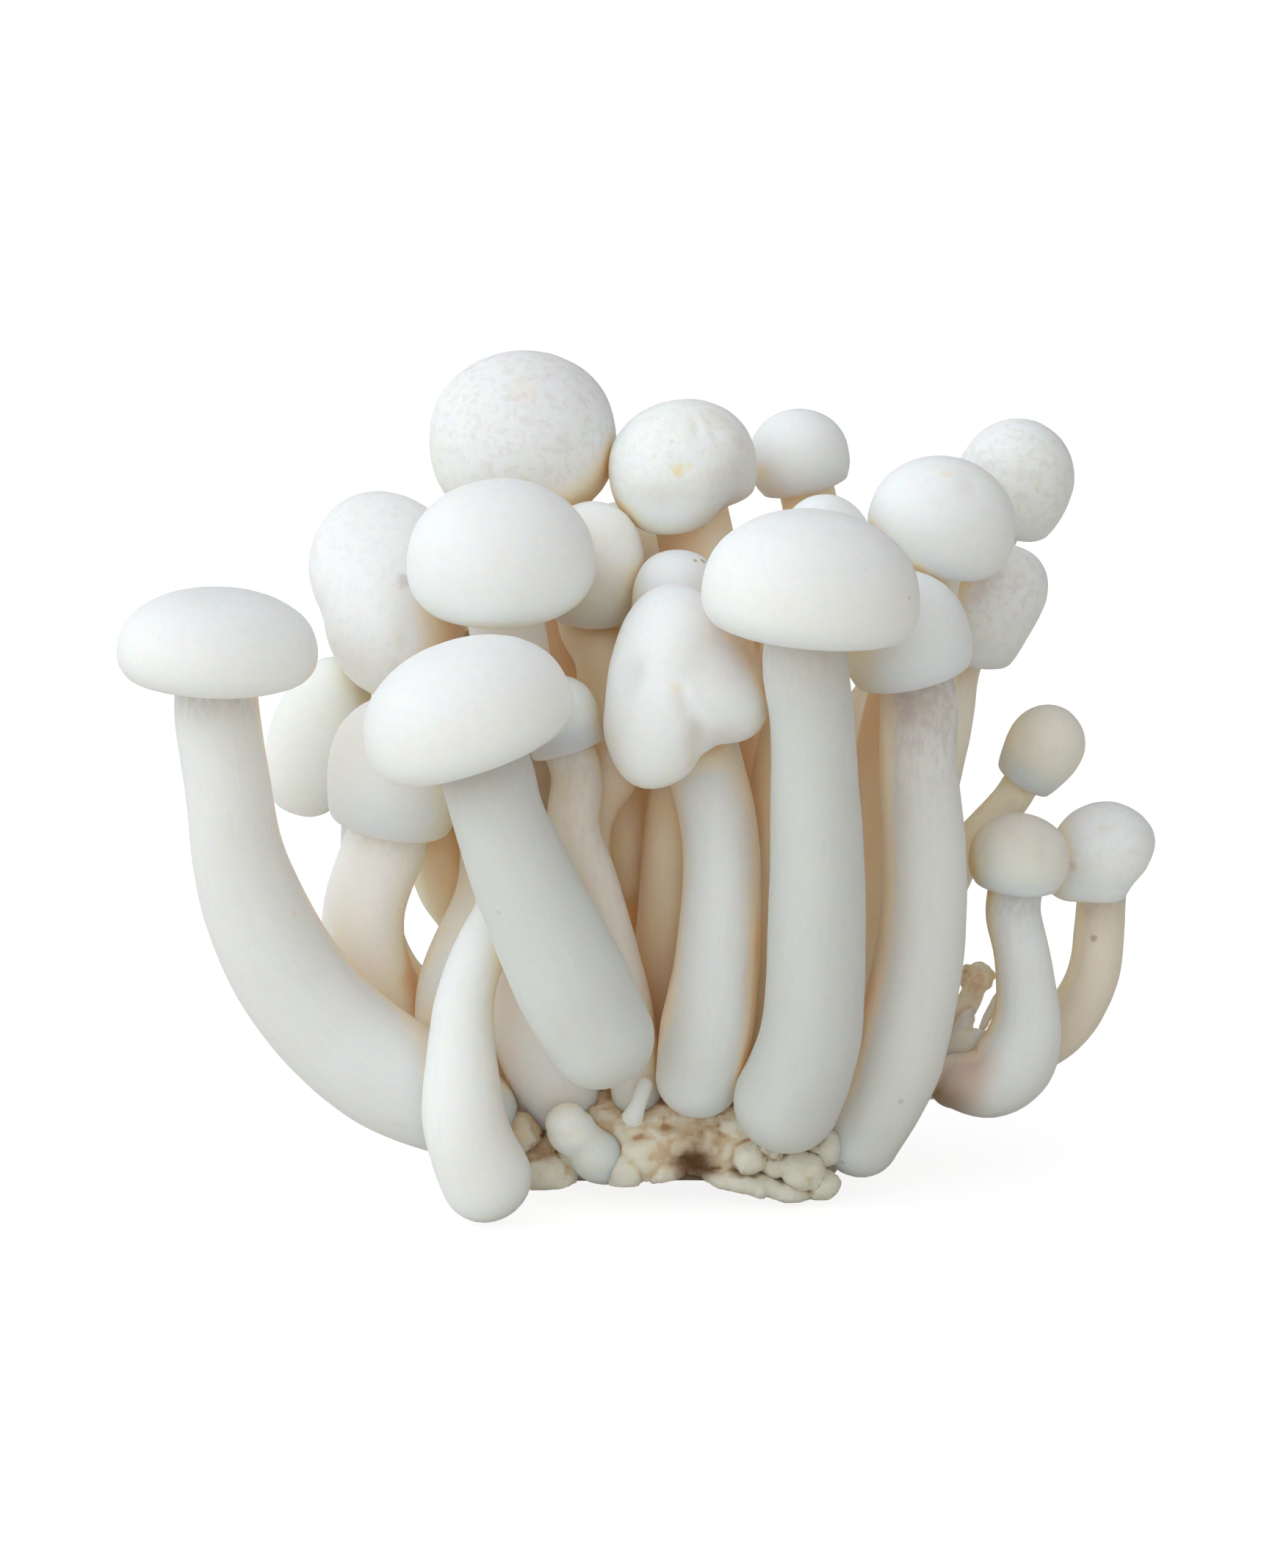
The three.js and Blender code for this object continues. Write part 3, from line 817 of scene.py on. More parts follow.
@dataclass
class Cap(Piece):
    """One cap: skin over the dome, a thin rolled margin, and gills below.

    In millimetres, pitch is the spacing of the gills, step the rise from the lip to the gills, gill_depth the
    gills' height and tuck how far the margin rolls in below a young, closed cap. lump is the waviness of the
    skin as a share of the radius.
    """

    finish: Flesh = CapSkin()
    slot: Slot = Slot.CAP
    dents: tuple[Dent, ...] = ()
    pitch: float = 1.05
    step: float = 0.5
    gill_depth: float = 1.1
    lump: float = 0.012
    tuck: float = 0.0

    SMALL = 6.0
    ROW = 0.5
    SMALL_ROW = 0.36
    MARGIN_ROW = 0.3
    LIP = 0.35
    BEAD = 0.14
    BEAD_WIDTH = 0.32
    RIPPLE = 0.035
    RIPPLE_SIZE = 1.7
    GILL_ACROSS = (0.0, 0.14, 0.5, 0.86)
    GILL_HANG = (1.0, 0.45, 0.0, 0.45)
    PROBE_NET = (14, 20)

    def columns(self, radius: float) -> tuple[np.ndarray, np.ndarray]:
        """Sets out the columns round the cap, four to a gill.

        Args:
            radius: the cap's radius.

        Returns:
            The angle of each column, and how far its gill edge hangs down, 1 on an edge and 0 in a groove.
        """
        gills = max(20, 2 * round(math.tau * 0.8 * radius / self.pitch / 2))
        across = np.repeat(np.arange(gills), len(self.GILL_ACROSS)) + np.tile(self.GILL_ACROSS, gills)
        return math.tau * across / gills - math.pi, np.tile(self.GILL_HANG, gills)

    def net(self, rings: list[np.ndarray], heights: list[float], turn: np.ndarray) -> np.ndarray:
        """Lays the rings out as rows of radius and height, with a mirrored row past each pole.

        Args:
            rings: the rings in the cap's own frame.
            heights: the poles' heights there.
            turn: the angle of each column.

        Returns:
            The radius and height at each column of each row, from below the lower pole up.
        """

        def ring_at(ring: np.ndarray, at: np.ndarray) -> np.ndarray:
            """Gives a ring's radius and height at some angles."""
            known = np.stack([np.hypot(ring[:, 0], ring[:, 1]), ring[:, 2]], axis=-1)
            return round_spline(np.arctan2(ring[:, 1], ring[:, 0]), known, at)

        low, high = (np.tile([0.0, height], (len(turn), 1)) for height in heights)
        flip = np.array([-1.0, 1.0])
        first, last = (ring_at(ring, turn + math.pi) * flip for ring in (rings[0], rings[-1]))
        return np.stack([first, low, *(ring_at(ring, turn) for ring in rings), high, last])

    def rows(self, knots: np.ndarray, radius: float) -> np.ndarray:
        """Sets out the rows along the cap's outline, closest at the margin.

        Args:
            knots: how far along the outline each row of the net lies.
            radius: the cap's radius.

        Returns:
            How far along each row lies, from the lower pole to the upper.
        """
        s_pole, s_low, s_rim, s_top = knots[1], knots[4], knots[6], knots[-2]
        spacing = self.ROW if radius > self.SMALL else self.SMALL_ROW
        below = np.linspace(s_pole, s_low, max(8, round((s_low - s_pole) / spacing)), endpoint=False)[1:]
        margin = np.linspace(s_low, s_rim, max(7, round((s_rim - s_low) / self.MARGIN_ROW)), endpoint=False)
        dome = np.linspace(s_rim, s_top, max(14, round((s_top - s_rim) / spacing)))[:-1]
        return np.concatenate([below, margin, dome])

    def build(self, daylight: Daylight) -> bpy.types.Object:
        """Builds the cap's mesh.

        Args:
            daylight: the probe for crowding.

        Returns:
            The cap's object.
        """
        body = RingBody.read(self.node)
        seat = body.rings[0]
        origin = seat.mean(axis=0)
        axis = np.linalg.svd(seat - origin)[2][2]
        axis = axis * np.sign(np.dot(axis, body.end - origin))
        right = unit(np.array([1.0, 0, 0]) - axis[0] * axis)
        basis = np.stack([right, np.cross(axis, right), axis])
        local = [(ring - origin) @ basis.T for ring in body.rings]
        radius = max(np.hypot(ring[:, 0], ring[:, 1]).mean() for ring in local)
        turn, edge = self.columns(radius)
        heights = [float((pole - origin) @ axis) for pole in (body.start, body.end)]
        net = self.net(local, heights, turn)
        knots = lengths_along(net.mean(axis=1))
        s_pole, s_seat, s_low, s_rim, s_top = knots[1], knots[2], knots[4], knots[6], knots[-2]
        s = self.rows(knots, radius)
        fine = natural_spline(knots, net, s)
        r, h = fine[..., 0], fine[..., 1]
        at = s[:, None]

        lip = s_low - self.LIP
        inside = smoothstep(lip, lip - 0.5, at)
        reach = smoothstep(s_pole + 0.25 * (s_seat - s_pole), s_pole + 0.5 * (s_seat - s_pole), at)
        short = np.tile(np.repeat([0.0, 1.0], 4), len(turn) // 8)
        cut = short * smoothstep(s_seat + 0.62 * (s_low - s_seat), s_seat + 0.4 * (s_low - s_seat), at)
        depth = min(self.gill_depth, 0.14 * radius)
        groove = 1 - edge[None] * (1 - cut)
        h = h + inside * reach * depth * groove + self.step * inside * smoothstep(s_seat, s_low, at)
        outside = smoothstep(s_low - 0.6, s_low + 0.3, at)
        r = r + self.BEAD * np.exp(-(((at - s_low - 0.15) / self.BEAD_WIDTH) ** 2))
        plain = np.stack([r * np.cos(turn), r * np.sin(turn), h], axis=-1) @ basis + origin
        s_turn = s_rim + 0.5 * (s_top - s_rim)
        shoulder = np.clip((s_turn - at) / (s_turn - s_low), 0, 1) ** 2
        r = r - self.tuck * np.where(at < s_low, smoothstep(s_seat, s_low, at), shoulder)
        local_points = np.stack([r * np.cos(turn), r * np.sin(turn), h], axis=-1)

        grain = Grain(sum(map(ord, self.node)))
        middle = np.array([0, 0, 0.25 * heights[1]])
        out = unit(local_points - middle)
        push = radius * self.lump * grain(local_points, 0.8 * radius) * (0.3 + 0.7 * outside)
        push += self.RIPPLE * grain(local_points, self.RIPPLE_SIZE) * outside
        spreading = 0.1 + 0.9 * smoothstep(s_pole, s_low, at)
        for dent in self.dents:
            push = push - dent.press(out) * spreading
        points = (local_points + out * push[..., None]) @ basis + origin
        low_pole = origin + axis * heights[0]
        high_pole = origin + axis * (heights[1] + push[-1].mean())
        # Painted light: the mask of the bright line along the margin.
        painted_rim_glow_share = smoothstep(0.58, 0.34, (at - s_low) / (s_rim - s_low)) * outside
        # Painted light: the mask of the brighter lower dome.
        painted_skirt_share = smoothstep(s_rim + 0.35 * (s_top - s_rim), s_low, at) * outside
        layers = {
            # Partly painted shade: the gills' own cream colour, laid more fully in the grooves between them.
            "gill": np.broadcast_to(inside * (0.55 + 0.45 * groove), r.shape),
            "painted_rim_glow": np.broadcast_to(painted_rim_glow_share, r.shape),
            "painted_skirt_glow": np.broadcast_to(painted_skirt_share, r.shape),
        }
        skin = Skin(plain, (low_pole, high_pole), layers)
        skin.shade(daylight, *self.PROBE_NET)
        skin.points = points
        return skin.mesh(self.node.replace("_cap", "_cap_skin"))


@dataclass
class Stem(Piece):
    """One stem: a swollen foot, a fibrous shaft and a neck that runs into the gills.

    In millimetres, reach_up is how far the top goes on into the gills, neck the length of the downy part and
    rib the height of the fibres. lump is the shaft's waviness as a share of its radius. rounded closes the
    top of a bud that has no cap.
    """

    reach_up: float = 0.9
    neck: float = 9.0
    rib: float = 0.03
    lump: float = 0.03
    rounded: bool = False

    ROW = 0.62
    COLUMN = 0.5
    FEWEST_COLUMNS = 28
    MOST_COLUMNS = 72
    HEEL_FULLNESS = 0.92
    TIP_FULLNESS = 0.95
    PROBE_NET = (22, 12)

    def profile(self, body: RingBody) -> tuple[np.ndarray, np.ndarray, np.ndarray]:
        """Lays out the rows from the heel to the top.

        Args:
            body: the solid's rings.

        Returns:
            The middle, the radius and the way along at each row.
        """
        stations = body.rings[1:-1] if self.rounded else body.rings[1:]
        middles = np.array([ring.mean(axis=0) for ring in stations])
        radii = np.array([np.linalg.norm(ring - ring.mean(axis=0), axis=1).mean() for ring in stations])
        if not self.rounded:
            onward = unit(middles[-1:] - middles[-2:-1])
            middles = np.concatenate([middles, middles[-1:] + self.reach_up * onward])
            radii = np.append(radii, radii[-1] * 1.03)
        knots = lengths_along(middles)
        count = max(16, round(knots[-1] / self.ROW))
        s = np.linspace(0, knots[-1], count)
        line = natural_spline(knots, middles, s)
        radius = natural_spline(knots, radii[:, None], s)[:, 0]
        along = unit(np.gradient(line, axis=0))
        t = np.radians(np.linspace(9, 84, 9))
        heel = np.linalg.norm(body.start - middles[0])
        foot = line[0] - along[0] * heel * np.cos(t)[:, None]
        line = np.concatenate([foot, line])
        radius = np.concatenate([radius[0] * np.sin(t) ** self.HEEL_FULLNESS, radius])
        along = np.concatenate([np.tile(along[0], (len(t), 1)), along])
        if self.rounded:
            tip = np.linalg.norm(body.end - middles[-1])
            head = line[-1] + along[-1] * tip * np.cos(t[::-1])[:, None]
            line = np.concatenate([line, head])
            radius = np.concatenate([radius, radius[-1] * np.sin(t[::-1]) ** self.TIP_FULLNESS])
            along = np.concatenate([along, np.tile(along[-1], (len(t), 1))])
        return line, radius, along

    def build(self, daylight: Daylight) -> bpy.types.Object:
        """Builds the stem's mesh.

        Args:
            daylight: the probe for crowding.

        Returns:
            The stem's object.
        """
        body = RingBody.read(self.node)
        line, radius, along = self.profile(body)
        around = round(math.tau * radius.max() / self.COLUMN)
        columns = int(np.clip(around, self.FEWEST_COLUMNS, self.MOST_COLUMNS))
        turn = np.arange(columns) * math.tau / columns
        side = unit(np.array([0, 1.0, 0]) - along[:, 1:2] * along)
        other = np.cross(along, side)
        ways = np.cos(turn)[None, :, None] * side[:, None] + np.sin(turn)[None, :, None] * other[:, None]
        travelled = lengths_along(line)
        grain = Grain(sum(map(ord, self.node)))
        round_about = radius[:, None, None] * np.stack([np.cos(turn), np.sin(turn), 0 * turn], -1)[None]
        fibres = round_about + travelled[:, None, None] * np.array([0, 0, 1.0])
        place = line[:, None] + radius[:, None, None] * ways
        size = float(radius.mean())
        swell = self.lump * grain(place, 2.2 * size) + 0.5 * self.lump * grain(place, 0.9 * size)
        ribs = grain(fibres * [1.0, 1.0, 0.12], 1.1) + 0.5 * grain(fibres * [1.0, 1.0, 0.2], 0.55)
        soft = smoothstep(0, 1.2, travelled)[:, None]
        reach = radius[:, None] * (1 + swell) + self.rib * ribs * soft * np.minimum(1, radius[:, None] / 3)
        points = line[:, None] + reach[..., None] * ways
        end = body.end if self.rounded else line[-1] + along[-1] * 0.05
        neck = smoothstep(self.neck, 0.15 * self.neck, travelled[-1] - travelled)[:, None]
        layers = {"grain": fibres, "neck": np.broadcast_to(neck, reach.shape)}
        skin = Skin(points, (body.start, end), layers)
        skin.shade(daylight, *self.PROBE_NET)
        return skin.mesh(self.node + "_flesh")


@dataclass(frozen=True)
class Knob:
    """A lump on the base or the pin: its middle and half sizes in millimetres, and its turn in degrees."""

    at: Place
    half: Place
    lean: float = 0.0


def moulded(
    node: str, name: str, knobs: tuple[Knob, ...], voxel: float
) -> tuple[bpy.types.Mesh, np.ndarray, np.ndarray]:
    """Melts a solid and some lumps into one even skin.

    Args:
        node: the solid's name.
        name: the new mesh's name.
        knobs: the lumps.
        voxel: the skin's fineness in millimetres.

    Returns:
        The mesh, its places in millimetres and the outward direction at each.
    """
    shape = bmesh.new()
    shape.from_mesh(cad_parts[node].data)
    bmesh.ops.remove_doubles(shape, verts=shape.verts, dist=1e-3 * MM)
    for knob in knobs:
        made = bmesh.ops.create_icosphere(shape, subdivisions=4, radius=1.0)["verts"]
        lean = math.radians(knob.lean)
        for corner in made:
            x, y, z = (c * h for c, h in zip(corner.co, knob.half))
            x, z = x * math.cos(lean) + z * math.sin(lean), z * math.cos(lean) - x * math.sin(lean)
            corner.co = Vector((knob.at[0] + x, knob.at[1] + y, max(0.05, knob.at[2] + z))) * MM
    rough = bpy.data.meshes.new("rough")
    shape.to_mesh(rough)
    shape.free()
    block = placed("rough", rough)
    remesh = block.modifiers.new("even", "REMESH")
    remesh.mode = "VOXEL"
    remesh.voxel_size = voxel * MM
    ease = block.modifiers.new("ease", "SMOOTH")
    ease.iterations = 2
    ready = block.evaluated_get(bpy.context.evaluated_depsgraph_get())
    mesh = bpy.data.meshes.new_from_object(ready)
    bpy.data.objects.remove(block)
    mesh.name = name
    places = np.empty(len(mesh.vertices) * 3, np.float32)
    facing = np.empty(len(mesh.vertices) * 3, np.float32)
    mesh.vertices.foreach_get("co", places)
    mesh.vertices.foreach_get("normal", facing)
    return mesh, places.reshape(-1, 3).astype(float) / MM, unit(facing.reshape(-1, 3).astype(float))


def reshaped(mesh: bpy.types.Mesh, points: np.ndarray) -> bpy.types.Object:
    """Moves a moulded mesh's points to new places and makes it an object.

    Args:
        mesh: the mesh.
        points: its new places in millimetres.

    Returns:
        A smooth object with the mesh's name.
    """
    mesh.vertices.foreach_set("co", (points * MM).astype(np.float32).reshape(-1))
    mesh.polygons.foreach_set("use_smooth", np.ones(len(mesh.polygons), bool))
    mesh.update()
    return placed(mesh.name, mesh)


@dataclass
class HookedPin(Piece):
    """The browned pin on the right: a hooked head on a thread of a stem, with a torn web at its foot."""

    node: str = "pin_right"
    finish: Flesh = BudFlesh(pale=(0.82, 0.73, 0.66), watery=(0.74, 0.62, 0.53))
    slot: Slot = Slot.BUD
    voxel: float = 0.2
    seed: int = 11
    wrinkle: float = 0.12
    spots: tuple[Spot, ...] = (
        Spot((36.2, -2.6, 20.6), 3.2, (0.56, 0.38, 0.23), 0.95, 0.4),
        Spot((34.8, -2.6, 21.6), 1.5, (0.3, 0.2, 0.11), 0.8),
    )
    knobs: tuple[Knob, ...] = (
        Knob((36.6, -2.6, 21.0), (1.4, 1.0, 0.8), 12),
        Knob((34.7, -2.6, 20.8), (0.7, 0.7, 1.3), 10),
        Knob((35.9, -2.6, 18.6), (0.7, 0.6, 2.2), 14),
        Knob((37.2, -3.4, 16.9), (0.5, 0.4, 2.8), 24),
        Knob((34.2, -4.4, 15.0), (1.1, 0.5, 3.0), 20),
        Knob((35.2, -5.0, 13.2), (2.9, 0.6, 2.6), -8),
    )

    def build(self, daylight: Daylight) -> bpy.types.Object:
        """Builds the pin's mesh.

        Args:
            daylight: the probe for crowding.

        Returns:
            The pin's object.
        """
        mesh, points, facing = moulded(self.node, "pin_right_flesh", self.knobs, self.voxel)
        points = points + facing * (self.wrinkle * Grain(self.seed)(points, 0.9))[:, None]
        thing = reshaped(mesh, points)
        store(mesh, "open", daylight.seen(points, facing))
        return thing


@dataclass
class CutBase(Piece):
    """The crusty block under the feet: knobs, folds and a flat cut face.

    crumbs are the height and size of each grade of crumb, fold the height of the folds below the feet, and
    arch the height of the front edge off the table at places from left to right. Folds set in between the two
    heights of fold_zone and the arch between the two depths of arch_zone. What lies below cut is levelled for
    the cut face. All of these are in millimetres.
    """

    node: str = "cut_base"
    finish: Flesh = BaseCrust()
    slot: Slot = Slot.BASE
    voxel: float = 0.36
    seed: int = 7
    swell: float = 0.42
    cut: float = 0.35
    fold: float = 0.75
    fold_zone: tuple[float, float] = (6.2, 7.6)
    arch_zone: tuple[float, float] = (-8.0, -15.0)
    crumbs: tuple[tuple[float, float], ...] = ((0.45, 2.6), (0.6, 1.3), (0.3, 0.7))
    arch: tuple[tuple[float, float], ...] = (
        (-30, 0),
        (-17, 0.7),
        (-12, 1.3),
        (-6, 2.3),
        (1, 2.5),
        (5.5, 3.3),
        (8.5, 2.2),
        (13, 1.1),
        (16, 0.6),
        (21, 0.6),
        (27, 0),
    )
    spots: tuple[Spot, ...] = (
        Spot((5.6, -17.2, 5.6), 5.6, (0.5, 0.34, 0.2), 0.9, 0.35),
        Spot((5.8, -17.6, 4.9), 3.5, (0.12, 0.055, 0.018), 1.0, 0.7),
        Spot((-10.8, -16.6, 5.7), 1.9, (0.36, 0.22, 0.11), 0.85),
        Spot((14.0, -19.2, 6.9), 1.9, (0.25, 0.14, 0.07), 0.9),
        Spot((18.6, -17.6, 7.2), 1.8, (0.33, 0.2, 0.1), 0.8),
        Spot((-12.7, -17.6, 7.4), 1.9, (0.93, 0.64, 0.36), 0.7),
        Spot((-12.6, -10.9, 5.7), 2.6, (0.93, 0.6, 0.33), 0.7),
        Spot((-2.7, -14.3, 10.0), 1.8, (0.7, 0.38, 0.16), 0.85),
        Spot((10.6, -18.8, 3.9), 1.5, (0.36, 0.21, 0.1), 0.7),
    )
    knobs: tuple[Knob, ...] = (
        Knob((0.9, -17.3, 5.3), (2.5, 2.2, 2.4), 15),
        Knob((-1.3, -17.9, 3.5), (1.8, 1.7, 1.7)),
        Knob((3.0, -17.7, 3.5), (1.8, 1.6, 1.3)),
        Knob((-9.2, -16.7, 3.0), (2.7, 2.1, 1.8), 10),
        Knob((-12.5, -16.4, 7.2), (2.2, 1.9, 1.8), -8),
        Knob((-11.4, -15.4, 4.9), (2.4, 1.9, 1.5), -12),
        Knob((-6.4, -16.2, 4.9), (1.7, 1.6, 1.5)),
        Knob((11.6, -18.8, 5.3), (1.45, 1.3, 1.45)),
        Knob((14.4, -18.0, 4.3), (1.8, 1.1, 0.9), 20),
        Knob((17.1, -18.7, 4.0), (1.8, 1.5, 1.8), -15),
        Knob((19.1, -17.3, 2.1), (1.7, 1.5, 1.5)),
        Knob((19.7, -17.2, 6.1), (1.4, 1.3, 1.7), 8),
        Knob((11.4, -17.9, 2.3), (4.6, 1.7, 0.85), 10),
        Knob((15.6, -17.8, 1.3), (2.4, 1.6, 0.7), 4),
        Knob((13.9, -18.9, 6.5), (1.3, 1.1, 0.8), 25),
        Knob((5.4, -15.2, 8.6), (4.6, 2.6, 1.7), 5),
        Knob((10.4, -16.2, 8.4), (2.8, 2.2, 2.0), -30),
        Knob((8.2, -16.9, 5.6), (1.6, 1.3, 1.2), 35),
    )

    PROBE_STEP = 9

    def build(self, daylight: Daylight) -> bpy.types.Object:
        """Builds the base's mesh.

        Args:
            daylight: the probe for crowding.

        Returns:
            The base's object.
        """
        mesh, points, facing = moulded(self.node, "cut_base_crust", self.knobs, self.voxel)
        grain = Grain(self.seed)
        height = sum(high * grain(points, size) for high, size in self.crumbs)
        folds = 0.3 - np.abs(grain(points * [0.45, 1.0, 1.0], 1.1))
        height = height + self.fold * folds * smoothstep(*self.fold_zone, points[:, 2])
        above = smoothstep(0.2, 1.6, points[:, 2])
        points = points + facing * (self.swell + 0.6 * height * above)[:, None]
        face = points[:, 2] < self.cut
        points[face, 2] = 0.05 + 0.12 * (grain(points[face], 1.6) + 1) * 0.5
        arch = np.interp(points[:, 0] + 0.4 * grain(points, 1.1), *np.array(self.arch).T)
        points[:, 2] = np.maximum(points[:, 2], arch * smoothstep(*self.arch_zone, points[:, 1]))
        thing = reshaped(mesh, points)
        pick = np.arange(0, len(points), self.PROBE_STEP)
        seen = daylight.seen(points[pick], facing[pick])
        store(mesh, "open", spread(points, points[pick], seen))
        store(mesh, "crease", hollowness(mesh, points, facing))
        return thing


def hollowness(mesh: bpy.types.Mesh, points: np.ndarray, facing: np.ndarray, rounds: int = 14) -> np.ndarray:
    """Measures how far each place lies in a hollow of the surface.

    Args:
        mesh: the surface, for its edges.
        points: its places in millimetres.
        facing: the outward direction at each place.
        rounds: how far round the neighbours are eased.

    Returns:
        Millimetres below the eased surface, less than 0 on a lump.
    """
    ends = np.empty(len(mesh.edges) * 2, np.int32)
    mesh.edges.foreach_get("vertices", ends)
    first, second = ends.reshape(-1, 2).T
    count = np.maximum(np.bincount(ends, minlength=len(points)), 1)[:, None]
    eased = points
    for _ in range(rounds):
        total = np.zeros_like(eased)
        for axis in range(3):
            total[:, axis] = np.bincount(first, eased[second, axis], len(points))
            total[:, axis] += np.bincount(second, eased[first, axis], len(points))
        eased = total / count
    return np.sum((eased - points) * facing, axis=1)


def spread(points: np.ndarray, known: np.ndarray, values: np.ndarray, cell: float = 1.6) -> np.ndarray:
    """Eases values from some places over all places by averaging them in overlapping cells.

    Args:
        points: the places wanted.
        known: the places measured.
        values: what was measured there.
        cell: the size of a cell.

    Returns:
        A value for each wanted place.
    """
    total = np.zeros(len(points))
    weight = np.zeros(len(points))
    for shift in np.ndindex(2, 2, 2):
        offset = np.array(shift) * 0.5 * cell
        sums: dict[tuple[int, int, int], list[float]] = {}
        for key, value in zip(map(tuple, np.floor((known + offset) / cell).astype(int)), values):
            entry = sums.setdefault(key, [0.0, 0.0])
            entry[0] += value
            entry[1] += 1
        for i, key in enumerate(map(tuple, np.floor((points + offset) / cell).astype(int))):
            if key in sums:
                total[i] += sums[key][0] / sums[key][1]
                weight[i] += 1
    return np.where(weight > 0, total / np.maximum(weight, 1), values.mean())


# --------------------------------------------------------------------------------------------- studio


@dataclass(frozen=True)
class Glow:
    """A soft patch of sky: the way towards its middle, its colour, and how tightly it gathers there."""

    way: Place
    colour: Colour
    tightness: float


@dataclass
class Studio:
    """A white table in soft daylight, seen from the front and a little above.

    distance and aim, the height that the camera looks at, are in millimetres, elevation and window, the width
    of the lamp, in degrees, and floor_size in metres. paper is the floor's colour as the bunch sees it, and
    shaded and lift make up its look in the picture.
    """

    distance: float = 650.0
    elevation: float = 12.0
    aim: float = 41.0
    lens: float = 141.4
    sensor: float = 36.0
    fill: Colour = (0.17, 0.165, 0.16)
    glows: tuple[Glow, ...] = (
        Glow((-1, 0, 0), (1.08, 1.12, 1.16), 1),
        Glow((0, 0, 1), (0.4, 0.4, 0.42), 1),
        Glow((-0.6, -0.25, 0.75), (0.36, 0.39, 0.43), 4),
        Glow((0, -0.97, 0.22), (1.44, 1.42, 1.39), 8),
    )
    key: float = 0.06
    key_way: Place = (-0.5, -0.4, 0.75)
    key_colour: Colour = (0.985, 1.0, 0.985)
    window: float = 28.0
    floor_size: float = 6.0
    paper: Colour = (0.72, 0.7, 0.64)
    shaded: Colour = (0.24, 0.24, 0.24)
    lift: float = 0.87

    def build(self) -> None:
        """Sets the camera, the floor, the sky and the lamp."""
        self.camera()
        self.floor()
        self.sky_dome()
        self.lamp()

    def camera(self) -> None:
        """Sets the camera in front of the bunch."""
        data = bpy.data.cameras.new("camera")
        data.lens = self.lens
        data.sensor_width = self.sensor
        data.clip_start = 0.01
        thing = placed("camera", data)
        rise = math.radians(self.elevation)
        target = Vector((0, 0, self.aim * MM))
        thing.location = target + self.distance * MM * Vector((0, -math.cos(rise), math.sin(rise)))
        thing.rotation_euler = (target - thing.location).to_track_quat("-Z", "Y").to_euler()
        bpy.context.scene.camera = thing

    def floor(self) -> None:
        """Lays a white floor that keeps the bunch's shadow."""
        mesh = bpy.data.meshes.new("floor")
        half = self.floor_size / 2
        corners = [(-half, -half, 0), (half, -half, 0), (half, half, 0), (-half, half, 0)]
        mesh.from_pydata(corners, [], [(0, 1, 2, 3)])
        thing = placed("floor", mesh)
        graph = Graph(bpy.data.materials.new("floor_white"))
        paper = graph.add("BsdfDiffuse", {"Color": (*self.paper, 1)})
        seen = graph.add("BsdfDiffuse", {"Color": (*self.shaded, 1)})
        lift = graph.add("Emission", {"Color": (1, 1, 1, 1), "Strength": self.lift})
        bright = graph.add("AddShader", {0: seen.outputs[0], 1: lift.outputs[0]})
        ray = graph.add("LightPath").outputs["Is Camera Ray"]
        mixed = graph.add("MixShader", {0: ray, 1: paper.outputs[0], 2: bright.outputs[0]})
        mesh.materials.append(graph.close(mixed))

    def sky_dome(self) -> None:
        """Surrounds the table with soft patches of sky, brightest from the upper left."""
        graph = Graph(bpy.data.worlds.new("studio"))
        where = graph.add("TexCoord").outputs["Generated"]
        total: object = self.fill
        for glow in self.glows:
            ways = {0: where, 1: Vector(glow.way).normalized()}
            toward = graph.add("VectorMath", ways, operation="DOT_PRODUCT").outputs["Value"]
            share = graph.math("POWER", graph.math("MAXIMUM", toward, 0.0), glow.tightness)
            tint = graph.add("VectorMath", {0: glow.colour, "Scale": share}, operation="SCALE").outputs[0]
            total = graph.add("VectorMath", {0: total, 1: tint}, operation="ADD").outputs[0]
        soft = graph.add("Background", {"Color": total})
        white = graph.add("Background", {"Color": (1, 1, 1, 1), "Strength": 1.0})
        ray = graph.add("LightPath").outputs["Is Camera Ray"]
        mixed = graph.add("MixShader", {0: ray, 1: soft.outputs[0], 2: white.outputs[0]})
        bpy.context.scene.world = graph.close(mixed)

    def lamp(self) -> None:
        """Adds one very soft lamp from the upper left."""
        data = bpy.data.lights.new("window", "SUN")
        data.energy = self.key
        data.angle = math.radians(self.window)
        data.color = self.key_colour
        placed("window", data).rotation_euler = Vector(self.key_way).to_track_quat("Z", "Y").to_euler()


# ----------------------------------------------------------------------------------------------- main

SCAR = (0.8, 0.72, 0.56)
YELLOW = (0.86, 0.74, 0.46)
BROWN = (0.36, 0.22, 0.11)
GREY = (0.5, 0.49, 0.45)
PITTED = CapSkin(pitted=0.42)
SPECKLED = CapSkin(pitted=0.22)
# Painted light: a brighter copy of the cap skin for a cap that sits in the shade of its neighbours.
PAINTED_LIGHT_BRIGHT_CAP = CapSkin(pale=(0.95, 0.955, 0.94), watery=(0.9, 0.885, 0.83))
# Painted light: a brighter, creamier copy of the cap skin for caps in the shade inside the bunch.
PAINTED_LIGHT_CREAM_CAP = CapSkin(
    pale=(0.97, 0.95, 0.89),
    watery=(0.94, 0.88, 0.78),
    painted_shade_warm=(1.0, 0.93, 0.8),
    painted_shade_deep=(1.0, 0.87, 0.69),
    marbling=0.4,
)
IVORY_CAP = CapSkin(pale=(0.76, 0.75, 0.69), watery=(0.72, 0.68, 0.6))
